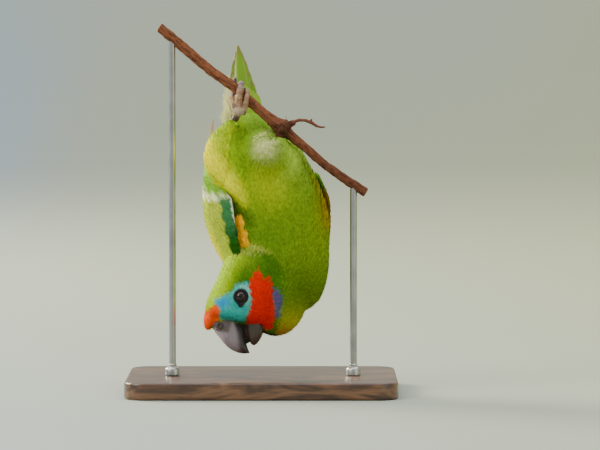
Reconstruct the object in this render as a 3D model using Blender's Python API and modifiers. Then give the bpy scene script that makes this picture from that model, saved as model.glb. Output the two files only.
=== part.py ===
"""A double-eyed fig parrot, life size, hanging head down by one foot from a short cut branch.

Two rods on a flat base carry the branch. Lengths are millimetres in this file, and each mesh is
written in metres. +Z is up, the belly faces -Y, and the origin is the middle of the base's underside.
"""

import math

import bmesh
import bpy
import numpy as np
from mathutils import Matrix, Vector

MM = 0.001
GAP = 0.3

# The body turns a little about the vertical, so that its left side shows from the front.
BODY_YAW = math.radians(18)
BELLY = np.array([math.sin(BODY_YAW), -math.cos(BODY_YAW), 0.0])
LEFT = np.array([-math.cos(BODY_YAW), -math.sin(BODY_YAW), 0.0])

# Torso sections from the breast up to the rump: height, middle x, middle y, half width, half depth.
TORSO_ROWS = [
    (35.5, 9.0, -3.0, 7.6, 6.6),
    (40.0, 10.8, -2.2, 14.4, 12.4),
    (46.0, 10.4, -1.0, 18.4, 16.6),
    (53.0, 9.2, 1.0, 21.6, 20.0),
    (61.0, 7.4, 3.0, 24.2, 22.4),
    (70.0, 5.5, 4.0, 26.2, 23.2),
    (79.0, 4.1, 4.0, 27.4, 23.4),
    (88.0, 2.4, 4.0, 27.0, 22.8),
    (98.0, 0.3, 4.2, 25.2, 21.4),
    (107.0, -1.8, 4.8, 22.6, 18.8),
    (114.0, -3.0, 5.6, 19.6, 15.8),
    (120.5, -3.9, 6.6, 15.6, 12.2),
    (125.5, -4.6, 7.4, 10.6, 8.6),
    (128.5, -5.0, 8.0, 5.4, 4.6),
]
TORSO_SIDES = 26
TORSO_RINGS = 20

# The folded wings lie on this wider form, which runs on past the rump to the wing tips.
WING_ROWS = [
    (50.0, 8.8, 1.0, 20.8, 19.4),
    (61.0, 7.4, 3.0, 24.4, 22.6),
    (70.0, 5.5, 4.0, 26.4, 23.4),
    (79.0, 4.1, 4.0, 27.6, 23.6),
    (88.0, 2.4, 4.0, 27.2, 23.0),
    (98.0, 0.3, 4.2, 25.6, 21.8),
    (107.0, -1.8, 4.8, 23.2, 19.6),
    (117.0, -3.4, 6.0, 20.0, 17.0),
    (130.0, -4.6, 8.0, 16.4, 14.0),
]
# Edges of each folded wing: height, and degrees round from the belly of its front and back edge.
# The right wing's front edge is tucked under the flank, so less of it shows.
WING_EDGES = {
    "left": [
        (57.0, 66.0, 132.0),
        (63.0, 55.0, 148.0),
        (70.0, 50.0, 160.0),
        (79.0, 51.0, 166.0),
        (90.0, 58.0, 168.0),
        (100.0, 72.0, 166.0),
        (110.0, 86.0, 156.0),
        (119.0, 94.0, 134.0),
        (127.0, 100.0, 112.0),
    ],
    "right": [
        (57.0, 98.0, 134.0),
        (63.0, 96.0, 150.0),
        (70.0, 94.0, 162.0),
        (79.0, 90.0, 167.0),
        (90.0, 76.0, 169.0),
        (100.0, 78.0, 167.0),
        (110.0, 88.0, 157.0),
        (119.0, 96.0, 135.0),
        (127.0, 102.0, 114.0),
    ],
}

# Neck: a round, fluffed collar between the breast and the head.
NECK_MIDDLE = np.array([6.2, -6.8, 46.4])
NECK_RADII = np.array([15.6, 13.6, 20.8])

# Head: its origin is level with the eyes, in profile towards -Y, with the bill pointing down.
HEAD_MIDDLE = np.array([-9.7, -10.0, 44.3])
HEAD_FORWARD = np.array([-0.26, -0.10, -0.96])
HEAD_CROWN = np.array([-0.966, 0.0, 0.26])
# Slanted head sections: forward and up of the top edge, the same of the bottom edge, half width.
HEAD_ROWS = [
    (-24.0, 3.0, -22.6, -5.0, 4.8),
    (-22.2, 7.6, -20.0, -11.6, 9.8),
    (-18.0, 11.2, -16.0, -16.2, 12.8),
    (-11.5, 12.4, -10.5, -18.0, 14.0),
    (-4.0, 13.4, -4.5, -18.2, 14.4),
    (3.0, 14.9, 1.0, -18.0, 14.0),
    (9.0, 15.2, 4.6, -17.8, 13.0),
    (11.6, 14.2, 7.0, -17.0, 11.6),
    (12.6, 12.4, 9.0, -15.4, 9.6),
    (13.0, 10.0, 10.6, -12.8, 7.4),
    (12.6, 7.0, 11.4, -8.6, 4.2),
]
# The feathered forehead that overhangs the bill: forward and up, and its half sizes.
FOREHEAD_PLACE = (12.0, 10.6)
FOREHEAD_RADII = (7.4, 6.6, 3.9)
HEAD_SIDES = 20
HEAD_POWER = 2.25
HEAD_RINGS = 14
# Each eye sits in a round lid.
EYE_RADIUS = 3.0
EYE_SINK = 2.0
LID_RADIUS, LID_THICKNESS = 2.85, 0.65

# Bill sections: forward and up of the top edge, the same of the bottom edge, half width.
UPPER_BILL_ROWS = [
    (15.0, 8.4, 7.0, -1.6, 5.8),
    (18.3, 7.5, 10.4, -2.6, 5.7),
    (20.4, 4.5, 12.4, -4.0, 5.4),
    (22.7, 1.4, 14.4, -5.5, 4.8),
    (24.2, -1.8, 16.6, -6.6, 4.0),
    (24.8, -4.9, 19.0, -7.8, 3.0),
    (24.6, -7.8, 21.4, -9.2, 1.9),
    (23.7, -10.6, 23.3, -10.7, 0.45),
]
LOWER_BILL_ROWS = [
    (8.0, -3.4, 6.6, -12.8, 5.2),
    (11.4, -4.5, 10.2, -14.0, 5.0),
    (14.4, -6.0, 13.6, -14.3, 4.6),
    (16.9, -7.7, 16.6, -13.7, 3.8),
    (18.8, -9.5, 18.9, -12.6, 2.4),
    (19.6, -10.8, 19.7, -11.7, 0.9),
]
BILL_SIDES = 12
BILL_POWER = 2.1
CERE_PLACE = (15.1, 6.0)
CERE_RADII = (3.0, 6.9, 3.7)
NOSTRIL_RADIUS = 1.0

# Branch: x, z and half thickness of points through its middle, from the upper end to the lower.
BRANCH_Y = -6.4
BRANCH_ROWS = [
    (-46.9, 167.8, 2.3),
    (-37.7, 160.2, 2.4),
    (-28.5, 152.2, 2.3),
    (-21.6, 146.6, 2.3),
    (-14.1, 141.5, 2.4),
    (-7.8, 136.0, 2.4),
    (-2.2, 131.0, 2.4),
    (4.0, 125.8, 2.6),
    (9.2, 121.9, 3.6),
    (13.5, 118.0, 2.4),
    (21.1, 111.7, 2.1),
    (28.6, 105.1, 2.1),
    (38.2, 98.3, 2.2),
    (47.8, 91.9, 2.2),
]
KNUCKLE_X, KNUCKLE_RADIUS = 9.4, 4.1
TWIG_ROWS = [
    (10.8, -5.2, 122.6, 1.7),
    (13.8, -5.6, 123.6, 1.6),
    (15.2, -6.0, 124.8, 0.9),
    (18.6, -6.4, 125.4, 0.8),
    (22.8, -6.8, 124.2, 0.9),
    (26.0, -6.6, 122.0, 0.7),
    (29.4, -6.2, 122.2, 0.4),
]
SPUR = ((22.0, -6.8, 124.4, 0.7), (23.2, -7.2, 126.2, 0.45))

# The gripping foot: its sole hangs a little under the branch, and its toes wrap round.
GRIP_X = -10.2
SOLE = np.array([-10.6, -9.2, 129.6])
CLAW_SWEEP = 46.0
# The toes cross the sloping branch nearly upright: how far they slide along it for each mm up.
TOE_SLIDE = -0.62
# Toes: place along the branch, start and end in degrees round it, and radius. 0 is the front, 90 the top.
GRIP_TOES = {
    "front_long": (0.3, -38.0, 66.0, 1.75),
    "front_short": (4.4, -34.0, 50.0, 1.35),
    "back_long": (-3.4, -78.0, -226.0, 1.40),
    "back_short": (2.4, -100.0, -212.0, 1.25),
}

# The clenched foot, sunk in the belly: its heel, and the palm that the toes curl from.
TUCK_HEEL = np.array([6.6, -10.6, 114.6])
TUCK_PALM = np.array([2.6, -12.6, 111.6])

# Stand: a flat base, and a rod under each end of the branch.
BASE_SIZE = (124.0, 84.0, 8.0)
BASE_CORNER = 10.0
BASE_CHAMFER = 1.4
ROD_XS = {"left": -41.0, "right": 42.0}
ROD_RADIUS = 1.6
FERRULE_RADIUS, FERRULE_HEIGHT = 3.4, 4.0

COLOURS = {
    "green": ((0.16, 0.34, 0.03), 0.75, 0.0),
    "lime": ((0.38, 0.50, 0.05), 0.75, 0.0),
    "wing": ((0.10, 0.30, 0.06), 0.70, 0.0),
    "bill": ((0.20, 0.18, 0.20), 0.35, 0.0),
    "eye": ((0.03, 0.012, 0.01), 0.08, 0.0),
    "foot": ((0.32, 0.22, 0.15), 0.60, 0.0),
    "bark": ((0.22, 0.10, 0.06), 0.80, 0.0),
    "wood": ((0.10, 0.06, 0.04), 0.40, 0.0),
    "steel": ((0.30, 0.29, 0.28), 0.35, 1.0),
}


def clear_scene():
    for obj in list(bpy.data.objects):
        bpy.data.objects.remove(obj, do_unlink=True)


def collection_named(name):
    made = bpy.data.collections.new(name)
    bpy.context.scene.collection.children.link(made)
    return made


def material(key):
    found = bpy.data.materials.get(key)
    if found:
        return found
    colour, roughness, metallic = COLOURS[key]
    made = bpy.data.materials.new(key)
    made.use_nodes = True
    shader = made.node_tree.nodes["Principled BSDF"]
    shader.inputs["Base Color"].default_value = (*colour, 1.0)
    shader.inputs["Roughness"].default_value = roughness
    shader.inputs["Metallic"].default_value = metallic
    made.diffuse_color = (*colour, 1.0)
    return made


def unit(vector):
    vector = np.asarray(vector, float)
    return vector / np.linalg.norm(vector)


def smooth_rows(rows, count):
    """Rows of numbers, evenly resampled along a Catmull-Rom curve through them."""
    rows = np.array(rows, float)
    padded = np.vstack([2 * rows[0] - rows[1], rows, 2 * rows[-1] - rows[-2]])
    made = []
    for at in np.linspace(0, len(rows) - 1, count):
        first = min(int(at), len(rows) - 2)
        t = at - first
        a, b, c, d = padded[first : first + 4]
        made.append(
            0.5 * (2 * b + (c - a) * t + (2 * a - 5 * b + 4 * c - d) * t**2
                   + (3 * b - a - 3 * c + d) * t**3)
        )
    return np.array(made)


def row_at(rows, key):
    """One row, read off linearly at a value of the first column."""
    table = np.array(rows, float)
    return [float(np.interp(key, table[:, 0], table[:, i])) for i in range(1, table.shape[1])]


def mesh_object(name, points_mm, faces, group):
    mesh = bpy.data.meshes.new(name)
    mesh.from_pydata([tuple(p) for p in np.asarray(points_mm) * MM], [], faces)
    made = bpy.data.objects.new(name, mesh)
    group.objects.link(made)
    outward(made)
    return made


def outward(obj):
    """Welds doubles and turns every face outwards."""
    work = bmesh.new()
    work.from_mesh(obj.data)
    bmesh.ops.remove_doubles(work, verts=work.verts, dist=1e-7)
    bmesh.ops.recalc_face_normals(work, faces=work.faces)
    work.to_mesh(obj.data)
    work.free()


def loft(name, rings, group):
    """A closed body through rings of points, with a fan over each end."""
    rings = np.array(rings, float)
    count, sides, _ = rings.shape
    points = list(rings.reshape(-1, 3)) + [rings[0].mean(0), rings[-1].mean(0)]
    faces = []
    for i in range(count - 1):
        for j in range(sides):
            k = (j + 1) % sides
            faces.append((i * sides + j, i * sides + k, (i + 1) * sides + k, (i + 1) * sides + j))
    for j in range(sides):
        k = (j + 1) % sides
        faces.append((count * sides, k, j))
        last = (count - 1) * sides
        faces.append((count * sides + 1, last + j, last + k))
    return mesh_object(name, points, faces, group)


def ball(name, middle, radii, group, segments=20, rings=12):
    """An ellipsoid made from a sphere primitive."""
    mesh = bpy.data.meshes.new(name)
    work = bmesh.new()
    bmesh.ops.create_uvsphere(work, u_segments=segments, v_segments=rings, radius=1.0)
    for vertex in work.verts:
        vertex.co = Vector((np.array(vertex.co) * radii + middle) * MM)
    work.to_mesh(mesh)
    work.free()
    made = bpy.data.objects.new(name, mesh)
    group.objects.link(made)
    return made


def tube(name, points, radii, group, resolution=2):
    """A tube along points, each with its own radius, made from a bevelled curve."""
    curve = bpy.data.curves.new(name, "CURVE")
    curve.dimensions = "3D"
    curve.bevel_depth = MM
    curve.bevel_resolution = resolution
    curve.use_fill_caps = True
    spline = curve.splines.new("POLY")
    spline.points.add(len(points) - 1)
    for spot, place, radius in zip(spline.points, points, radii):
        spot.co = (*(np.asarray(place) * MM), 1.0)
        spot.radius = radius
    holder = bpy.data.objects.new(name + "_line", curve)
    group.objects.link(holder)
    graph = bpy.context.evaluated_depsgraph_get()
    mesh = bpy.data.meshes.new_from_object(holder.evaluated_get(graph))
    bpy.data.objects.remove(holder, do_unlink=True)
    made = bpy.data.objects.new(name, mesh)
    group.objects.link(made)
    outward(made)
    return made


def bake(obj):
    """Applies an object's modifiers to its mesh."""
    graph = bpy.context.evaluated_depsgraph_get()
    mesh = bpy.data.meshes.new_from_object(obj.evaluated_get(graph))
    obj.modifiers.clear()
    obj.data = mesh


def keep_largest(obj):
    """Leaves only the largest closed surface, by volume."""
    work = bmesh.new()
    work.from_mesh(obj.data)
    bmesh.ops.triangulate(work, faces=work.faces)
    unseen = set(work.verts)
    shells = []
    while unseen:
        stack = [unseen.pop()]
        shell = set(stack)
        while stack:
            for edge in stack.pop().link_edges:
                for vertex in edge.verts:
                    if vertex in unseen:
                        unseen.discard(vertex)
                        shell.add(vertex)
                        stack.append(vertex)
        shells.append(shell)

    def volume(shell):
        faces = {face for vertex in shell for face in vertex.link_faces}
        return sum(f.verts[0].co.dot(f.verts[1].co.cross(f.verts[2].co)) for f in faces)

    best = max(shells, key=volume)
    bmesh.ops.delete(work, geom=[v for v in work.verts if v not in best], context="VERTS")
    work.to_mesh(obj.data)
    work.free()


def fuse(obj, pieces):
    """One union of an object with a list of closed pieces, which are then removed."""
    crowd = collection_named(obj.name + "_pieces")
    for piece in pieces:
        for holder in list(piece.users_collection):
            holder.objects.unlink(piece)
        crowd.objects.link(piece)
    join = obj.modifiers.new("Join", "BOOLEAN")
    join.operation = "UNION"
    join.operand_type = "COLLECTION"
    join.collection = crowd
    join.solver = "EXACT"
    bake(obj)
    for piece in pieces:
        bpy.data.objects.remove(piece, do_unlink=True)
    bpy.data.collections.remove(crowd)
    keep_largest(obj)


def carve(obj, tools):
    """Cuts a list of closed tools from an object, and removes the tools."""
    for tool in tools:
        cut = obj.modifiers.new("Cut", "BOOLEAN")
        cut.operation = "DIFFERENCE"
        cut.object = tool
        cut.solver = "EXACT"
        bake(obj)
        bpy.data.objects.remove(tool, do_unlink=True)
    keep_largest(obj)


def swollen(obj, group, by=GAP):
    """A copy of an object, grown outwards along its vertex normals."""
    made = bpy.data.objects.new(obj.name + "_swollen", obj.data.copy())
    group.objects.link(made)
    grow = made.modifiers.new("Grow", "DISPLACE")
    grow.mid_level = 0.0
    grow.strength = by * MM
    bake(made)
    return made


def finish(obj, key):
    obj.data.materials.clear()
    obj.data.materials.append(material(key))
    obj.data.shade_smooth()
    obj.data.set_sharp_from_angle(angle=math.radians(38))
    return obj


def body_point(row, degrees, grow=0.0):
    """A point on a level section, by degrees round from the belly towards the left side."""
    height, x, y, half_width, half_depth = row
    turn = math.radians(degrees)
    out = BELLY * (half_depth + grow) * math.cos(turn) + LEFT * (half_width + grow) * math.sin(turn)
    return np.array([x, y, height]) + out


def make_torso(group, cutters, branch):
    rings = []
    for row in smooth_rows(TORSO_ROWS, TORSO_RINGS):
        rings.append([body_point(row, 360 * j / TORSO_SIDES) for j in range(TORSO_SIDES)])
    torso = loft("torso", rings, group)
    carve(torso, [swollen(branch, cutters)])
    return finish(torso, "green")


def head_axes():
    forward = unit(HEAD_FORWARD)
    crown = unit(HEAD_CROWN - forward * HEAD_CROWN.dot(forward))
    return forward, crown, np.cross(crown, forward)


def head_point(forward_mm, up_mm, left_mm):
    forward, crown, left = head_axes()
    return HEAD_MIDDLE + forward * forward_mm + crown * up_mm + left * left_mm


def egg(turn, power):
    """A point of a slightly squared circle."""
    c, s = math.cos(turn), math.sin(turn)
    return (
        math.copysign(abs(c) ** (2 / power), c),
        math.copysign(abs(s) ** (2 / power), s),
    )


def make_neck(group, cutters, neighbours):
    neck = ball("neck", NECK_MIDDLE, NECK_RADII, group, 24, 16)
    carve(neck, [swollen(piece, cutters) for piece in neighbours])
    return finish(neck, "green")


def slanted_ring(row, sides, power):
    """A closed ring in the head's frame, from a row of top edge, bottom edge and half width."""
    top_f, top_u, low_f, low_u, half_width = row
    ring = []
    for j in range(sides):
        up, across = egg(2 * math.pi * j / sides, power)
        share = (1 + up) / 2
        forward = low_f + (top_f - low_f) * share
        ring.append(head_point(forward, low_u + (top_u - low_u) * share, half_width * across))
    return ring


def side_at_eye():
    """The head's half width beside the eye, which is at the origin of the head's frame."""
    ring = []
    for top_f, top_u, low_f, low_u, half_width in smooth_rows(HEAD_ROWS, 80):
        share = -low_u / (top_u - low_u)
        up = abs(2 * share - 1)
        ring.append((low_f + (top_f - low_f) * share, half_width * (1 - up**HEAD_POWER) ** (1 / HEAD_POWER)))
    ring = np.array(ring)
    return float(np.interp(0.0, ring[:, 0], ring[:, 1]))


def eye_middle(side):
    return head_point(0, 0, side * (side_at_eye() - EYE_SINK))


def lid_ring(name, middle, normal, group):
    """A torus lying on the head round one eye."""
    bpy.ops.mesh.primitive_torus_add(
        major_segments=18, minor_segments=6, major_radius=LID_RADIUS * MM, minor_radius=LID_THICKNESS * MM
    )
    ring = bpy.context.object
    ring.name = name
    for holder in list(ring.users_collection):
        holder.objects.unlink(ring)
    group.objects.link(ring)
    turn = Vector(normal).to_track_quat("Z", "Y").to_matrix().to_4x4()
    ring.data.transform(Matrix.Translation(Vector(middle * MM)) @ turn)
    return ring


def head_ball(name, place, radii, group, segments=18, rings=10):
    """An ellipsoid whose axes are the head's own: forward, left and up."""
    forward, crown, left = head_axes()
    made = ball(name, np.zeros(3), radii, group, segments, rings)
    turn = Matrix([forward, left, crown]).transposed().to_4x4()
    made.data.transform(Matrix.Translation(Vector(head_point(*place, 0) * MM)) @ turn)
    outward(made)
    return made


def slanted_loft(name, rows, count, sides, power, group):
    """A closed body through slanted rings in the head's frame."""
    return loft(name, [slanted_ring(row, sides, power) for row in smooth_rows(rows, count)], group)


def make_head(group, cutters, behind):
    head = slanted_loft("head", HEAD_ROWS, HEAD_RINGS, HEAD_SIDES, HEAD_POWER, group)
    _, _, left = head_axes()
    rims = [head_point(0, 0, side * (side_at_eye() - 0.1)) for side in (1, -1)]
    lumps = [lid_ring(f"lid_{i}", rim, left * (1 - 2 * i), group) for i, rim in enumerate(rims)]
    fuse(head, [*lumps, head_ball("forehead", FOREHEAD_PLACE, FOREHEAD_RADII, group)])
    tools = [ball("socket", eye_middle(s), [EYE_RADIUS + GAP] * 3, cutters, 16, 10) for s in (1, -1)]
    tools += [swollen(piece, cutters) for piece in behind]
    carve(head, tools)
    return finish(head, "green")


def make_eyes(group):
    for name, side in (("eye_left", 1), ("eye_right", -1)):
        finish(ball(name, eye_middle(side), [EYE_RADIUS] * 3, group, 16, 10), "eye")


def make_bill(group, cutters):
    """Both halves of the bill and the cere, each cut clear of the last."""
    upper = slanted_loft("bill_upper", UPPER_BILL_ROWS, 14, BILL_SIDES, BILL_POWER, group)
    lower = slanted_loft("bill_lower", LOWER_BILL_ROWS, 9, BILL_SIDES, BILL_POWER, group)
    carve(lower, [swollen(upper, cutters)])
    cere = head_ball("cere", CERE_PLACE, CERE_RADII, group)
    nostrils = [head_point(*CERE_PLACE, side * (CERE_RADII[1] - 0.1)) for side in (1, -1)]
    pits = [ball("nostril", place, [NOSTRIL_RADIUS] * 3, cutters, 10, 6) for place in nostrils]
    carve(cere, [swollen(upper, cutters), *pits])
    for piece in (upper, lower, cere):
        finish(piece, "bill")
    return upper, lower, cere


def between(pair, t):
    return pair[0] + (pair[1] - pair[0]) * t


def wing_place(side, height, across, lift):
    """A point over the folded wing's form: across runs 0 to 1 from front edge to back edge."""
    front, back = row_at(WING_EDGES["left" if side > 0 else "right"], height)
    degrees = side * (front + (back - front) * across)
    return body_point((height, *row_at(WING_ROWS, height)), degrees, lift)


# A feather's outline: how far along it, and its width there as a share of the full width.
VANE_OUTLINE = [(0.0, 0.55), (0.3, 0.85), (0.62, 1.0), (0.88, 0.78), (1.0, 0.26)]
VANE_THICKNESS = 0.6
CAMBER = 0.12
# Each wing feather leans, so that its edge lies over the next one.
SHINGLE_TILT = math.radians(7)


def vane(name, spine, half_widths, thickness, group):
    """One feather: a thin closed blade along a line of points, each with its sideways direction."""
    rows = []
    for (place, across, normal), half in zip(spine, half_widths):
        top = [place + across * half, place + normal * CAMBER * half, place - across * half]
        rows.append(top + [p - normal * thickness for p in reversed(top)])
    rows = np.array(rows)
    count = len(rows)
    faces = []
    for i in range(count - 1):
        a, b = i * 6, (i + 1) * 6
        for j in range(2):
            faces += [(a + j, a + j + 1, b + j + 1), (a + j, b + j + 1, b + j)]
            p, q = 5 - j, 4 - j
            faces += [(a + p, b + q, a + q), (a + p, b + p, b + q)]
        faces += [(a + 2, a + 3, b + 3, b + 2), (a + 5, a, b, b + 5)]
    last = (count - 1) * 6
    faces += [(0, 5, 4, 1), (1, 4, 3, 2)]
    faces += [(last + 1, last + 4, last + 5, last), (last + 2, last + 3, last + 4, last + 1)]
    return mesh_object(name, rows.reshape(-1, 3), faces, group)


def wing_vane(name, side, root, tip, width, lifts, group):
    """A wing feather from root to tip, each given as height and share across the wing."""
    spine, halves = [], []
    slope = (tip[1] - root[1]) / (tip[0] - root[0])
    for t, share in VANE_OUTLINE:
        height = between((root[0], tip[0]), t)
        across = between((root[1], tip[1]), t)
        lift = between(lifts, t)
        place = wing_place(side, height, across, lift)
        normal = unit(wing_place(side, height, across, lift + 1.0) - place)
        along = unit(wing_place(side, height + 1.0, across + slope, lift) - place)
        sideways = unit(np.cross(normal, along)) * side
        sideways = sideways * math.cos(SHINGLE_TILT) + normal * math.sin(SHINGLE_TILT)
        spine.append((place, sideways, unit(np.cross(along, sideways)) * side))
        halves.append(width / 2 * share)
    return vane(name, spine, halves, VANE_THICKNESS, group)


# Each tier of wing feathers: how many, then for the first and last of them the height of the root,
# the height of the tip, and the share across the wing of each, then the width and the lifts.
WING_TIERS = {
    "primary": (5, (78.0, 84.0), (126.0, 110.0), (0.12, 0.34), (0.34, 0.60), 5.6, (1.3, 0.9)),
    "tertial": (4, (72.0, 78.0), (106.0, 112.0), (0.22, 0.84), (0.24, 0.88), 9.6, (1.9, 1.6)),
    "cover": (6, (66.0, 70.0), (94.0, 96.0), (0.11, 0.89), (0.09, 0.91), 8.8, (2.2, 2.5)),
    "shoulder": (5, (60.0, 64.0), (79.0, 83.0), (0.13, 0.87), (0.11, 0.89), 9.4, (2.6, 3.2)),
}
# The smooth core under them: height, and how far its outer side stands off the wing's form.
WING_CORE = [(58.0, 0.7), (62.0, 2.0), (70.0, 2.5), (78.0, 2.1), (87.0, 1.5), (96.0, 1.0), (106.0, 0.7)]
WING_CORE_DEPTH = 2.2


def make_wing(word, side, group, cutters, neighbours):
    """A folded wing: a smooth core over the forearm, with tiers of feathers over one another."""
    rings = []
    for height, rise in WING_CORE:
        shares = np.linspace(0.04, 0.96, 8)
        lifts = [0.4 + (rise - 0.4) * math.sin(math.pi * share) ** 0.4 for share in shares]
        outer = [wing_place(side, height, share, lift) for share, lift in zip(shares, lifts)]
        inner = [wing_place(side, height, share, -WING_CORE_DEPTH) for share in shares]
        rings.append(outer + inner[::-1])
    wing = loft(f"wing_{word}", rings, group)
    pieces = []
    for tier, (count, roots, tips, root_across, tip_across, width, lifts) in WING_TIERS.items():
        for t in np.linspace(0, 1, count if side > 0 else max(3, count - 1)):
            root = (between(roots, t), between(root_across, t))
            tip = (between(tips, t), between(tip_across, t))
            pieces.append(wing_vane(tier, side, root, tip, width, lifts, group))
    fuse(wing, pieces)
    carve(wing, [swollen(piece, cutters) for piece in neighbours])
    return finish(wing, "wing")


# Tail: ends of its middle line, and for each pair of feathers from the middle out, its length as a
# share and how far its tip lies to the side.
TAIL_ROOT = np.array([-7.4, 9.0, 121.0])
TAIL_TIP = np.array([-11.3, 13.5, 159.4])
TAIL_PAIRS = [(1.0, 0.7), (0.93, 1.9), (0.83, 3.2), (0.70, 4.5), (0.57, 5.7), (0.45, 6.5)]
TAIL_ROOT_STEP = 1.0
RECTRIX_HALF = 2.5


def tail_axes():
    along = unit(TAIL_TIP - TAIL_ROOT)
    across = unit(LEFT - along * LEFT.dot(along))
    return along, across, np.cross(across, along)


def tail_vane(name, start, end, half, group):
    _, _, normal = tail_axes()
    sideways = unit(np.cross(normal, unit(end - start)))
    spine = [(start + (end - start) * t, sideways, normal) for t, _ in VANE_OUTLINE]
    return vane(name, spine, [half * share for _, share in VANE_OUTLINE], VANE_THICKNESS, group)


def make_tail(group, cutters, neighbours):
    """Twelve tail feathers in stepped pairs, with coverts over and under their roots."""
    along, across, normal = tail_axes()
    length = np.linalg.norm(TAIL_TIP - TAIL_ROOT)
    tail = ball("tail", TAIL_ROOT + along * 4.0, (8.6, 4.4, 10.0), group, 16, 10)
    pieces = []
    for pair, (share, tip_out) in enumerate(TAIL_PAIRS):
        for side in (1, -1):
            depth = normal * (0.5 * pair + (0.25 if side > 0 else 0.0))
            start = TAIL_ROOT + across * side * TAIL_ROOT_STEP * (pair + 0.6) + depth
            end = TAIL_ROOT + along * length * share + across * side * tip_out + depth
            pieces.append(tail_vane(f"rectrix_{pair}_{side}", start, end, RECTRIX_HALF, group))
    for i in range(5):
        out = (i - 2) / 2
        start = TAIL_ROOT + across * out * 4.2 + along * 1.0
        for word, rise, reach in (("under", 3.7, 21.0), ("over", -1.1, 16.0)):
            depth = normal * (rise + 0.3 * (i % 2))
            end = start + along * reach * (1 - 0.25 * abs(out)) + across * out * 1.6
            pieces.append(tail_vane(f"{word}_covert_{i}", start + depth, end + depth, 2.9, group))
    fuse(tail, pieces)
    carve(tail, [swollen(piece, cutters) for piece in neighbours])
    return finish(tail, "lime")


# Thighs: path points with radius. The left one reaches up to the gripping foot.
THIGH_PATHS = {
    "left": [
        (-7.5, -13.5, 87.0, 3.2),
        (-12.0, -12.5, 96.0, 7.4),
        (-16.0, -10.8, 104.5, 9.4),
        (-17.4, -8.6, 112.0, 8.4),
        (-15.2, -7.4, 119.0, 5.4),
        (-12.6, -7.6, 124.0, 3.2),
    ],
    "right": [
        (11.0, -12.0, 89.0, 3.0),
        (12.4, -8.6, 98.0, 6.8),
        (11.6, -5.8, 106.0, 7.4),
        (9.0, -6.0, 112.0, 5.4),
        (6.8, -8.2, 115.6, 2.8),
    ],
}


def make_thigh(word, group, cutters, neighbours):
    path = smooth_rows(THIGH_PATHS[word], 12)
    rings = []
    sides = 16
    for i, (x, y, z, radius) in enumerate(path):
        before, after = path[max(i - 1, 0)], path[min(i + 1, len(path) - 1)]
        along = unit(after[:3] - before[:3])
        first = unit(np.cross(along, [0, 1, 0]))
        second = np.cross(along, first)
        ring = []
        for j in range(sides):
            a = 2 * math.pi * j / sides
            ring.append(np.array([x, y, z]) + radius * (first * math.cos(a) + second * math.sin(a)))
        rings.append(ring)
    thigh = loft(f"thigh_{word}", rings, group)
    carve(thigh, [swollen(piece, cutters) for piece in neighbours])
    return finish(thigh, "lime")


def branch_at(x):
    """Middle of the branch, its direction, the way up across it, and its radius, at a given x."""
    rows = np.array(BRANCH_ROWS)
    z, ahead = np.interp([x, x + 1.0], rows[:, 0], rows[:, 1])
    along = unit([1.0, 0.0, ahead - z])
    up = np.array([-along[2], 0.0, along[0]])
    return np.array([x, BRANCH_Y, z]), along, up, float(np.interp(x, rows[:, 0], rows[:, 2]))


def make_branch(group):
    rows = smooth_rows(BRANCH_ROWS, 28)
    branch = tube("perch_branch", [(x, BRANCH_Y, z) for x, z, _ in rows], rows[:, 2], group)
    twig = smooth_rows(TWIG_ROWS, 10)
    spur = np.array(SPUR)
    knuckle = branch_at(KNUCKLE_X)[0]
    pieces = [
        tube("twig", twig[:, :3], twig[:, 3], group, 1),
        tube("spur", spur[:, :3], spur[:, 3], group, 1),
        ball("knuckle", knuckle, [KNUCKLE_RADIUS, KNUCKLE_RADIUS * 0.95, KNUCKLE_RADIUS], group, 12, 8),
        ball("scar", knuckle + [-1.0, -0.6, -3.4], [2.2, 2.4, 1.9], group, 10, 6),
    ]
    fuse(branch, pieces)
    return finish(branch, "bark")


def grip_toe(name, along_mm, start_deg, end_deg, thickness, group):
    """A toe from the sole that wraps round the branch, and the claw at its end."""
    middle, along, up, radius = branch_at(GRIP_X)
    front = np.array([0.0, -1.0, 0.0])

    def wrapped(degrees, reach):
        out, rise = reach * math.cos(math.radians(degrees)), reach * math.sin(math.radians(degrees))
        return middle + along * (along_mm + TOE_SLIDE * rise) + front * out + up * rise

    points, radii = [SOLE + along * along_mm * 0.6], [thickness]
    for i, degrees in enumerate(np.linspace(start_deg, end_deg, 8)):
        t = i / 7
        knuckle = 0.10 * thickness * math.sin(t * 5 * math.pi)
        thick = thickness * (1.0 - 0.25 * t) + knuckle
        points.append(wrapped(degrees, radius + GAP + 0.15 + thick))
        radii.append(thick)
    toe = tube(name, points, radii, group, 1)
    way = 1 if end_deg > start_deg else -1
    claw_points, claw_radii = [], []
    for i in range(6):
        t = i / 5
        thick = 0.12 + 0.75 * (1 - t)
        bulge = 0.9 * math.sin(math.pi * min(t + 0.15, 1.0))
        claw_points.append(wrapped(end_deg + way * (CLAW_SWEEP * t - 8), radius + GAP + 0.1 + thick + bulge))
        claw_radii.append(thick)
    return [toe, tube(name + "_claw", claw_points, claw_radii, group, 1)]


def make_grip_foot(group, cutters, neighbours):
    foot = ball("foot_left", SOLE, (2.7, 2.3, 2.5), group, 14, 10)
    pieces = []
    for name, toe in GRIP_TOES.items():
        pieces += grip_toe(name, *toe, group)
    ankle = np.array(THIGH_PATHS["left"][-1][:3])
    shank = [ankle + [0.2, 0.0, 1.6], (ankle + SOLE) / 2, SOLE]
    pieces.append(tube("shank", smooth_rows(shank, 5), (1.8, 1.7, 1.6, 1.8, 2.1), group, 2))
    fuse(foot, pieces)
    carve(foot, [swollen(piece, cutters) for piece in neighbours])
    return finish(foot, "foot")


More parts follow.
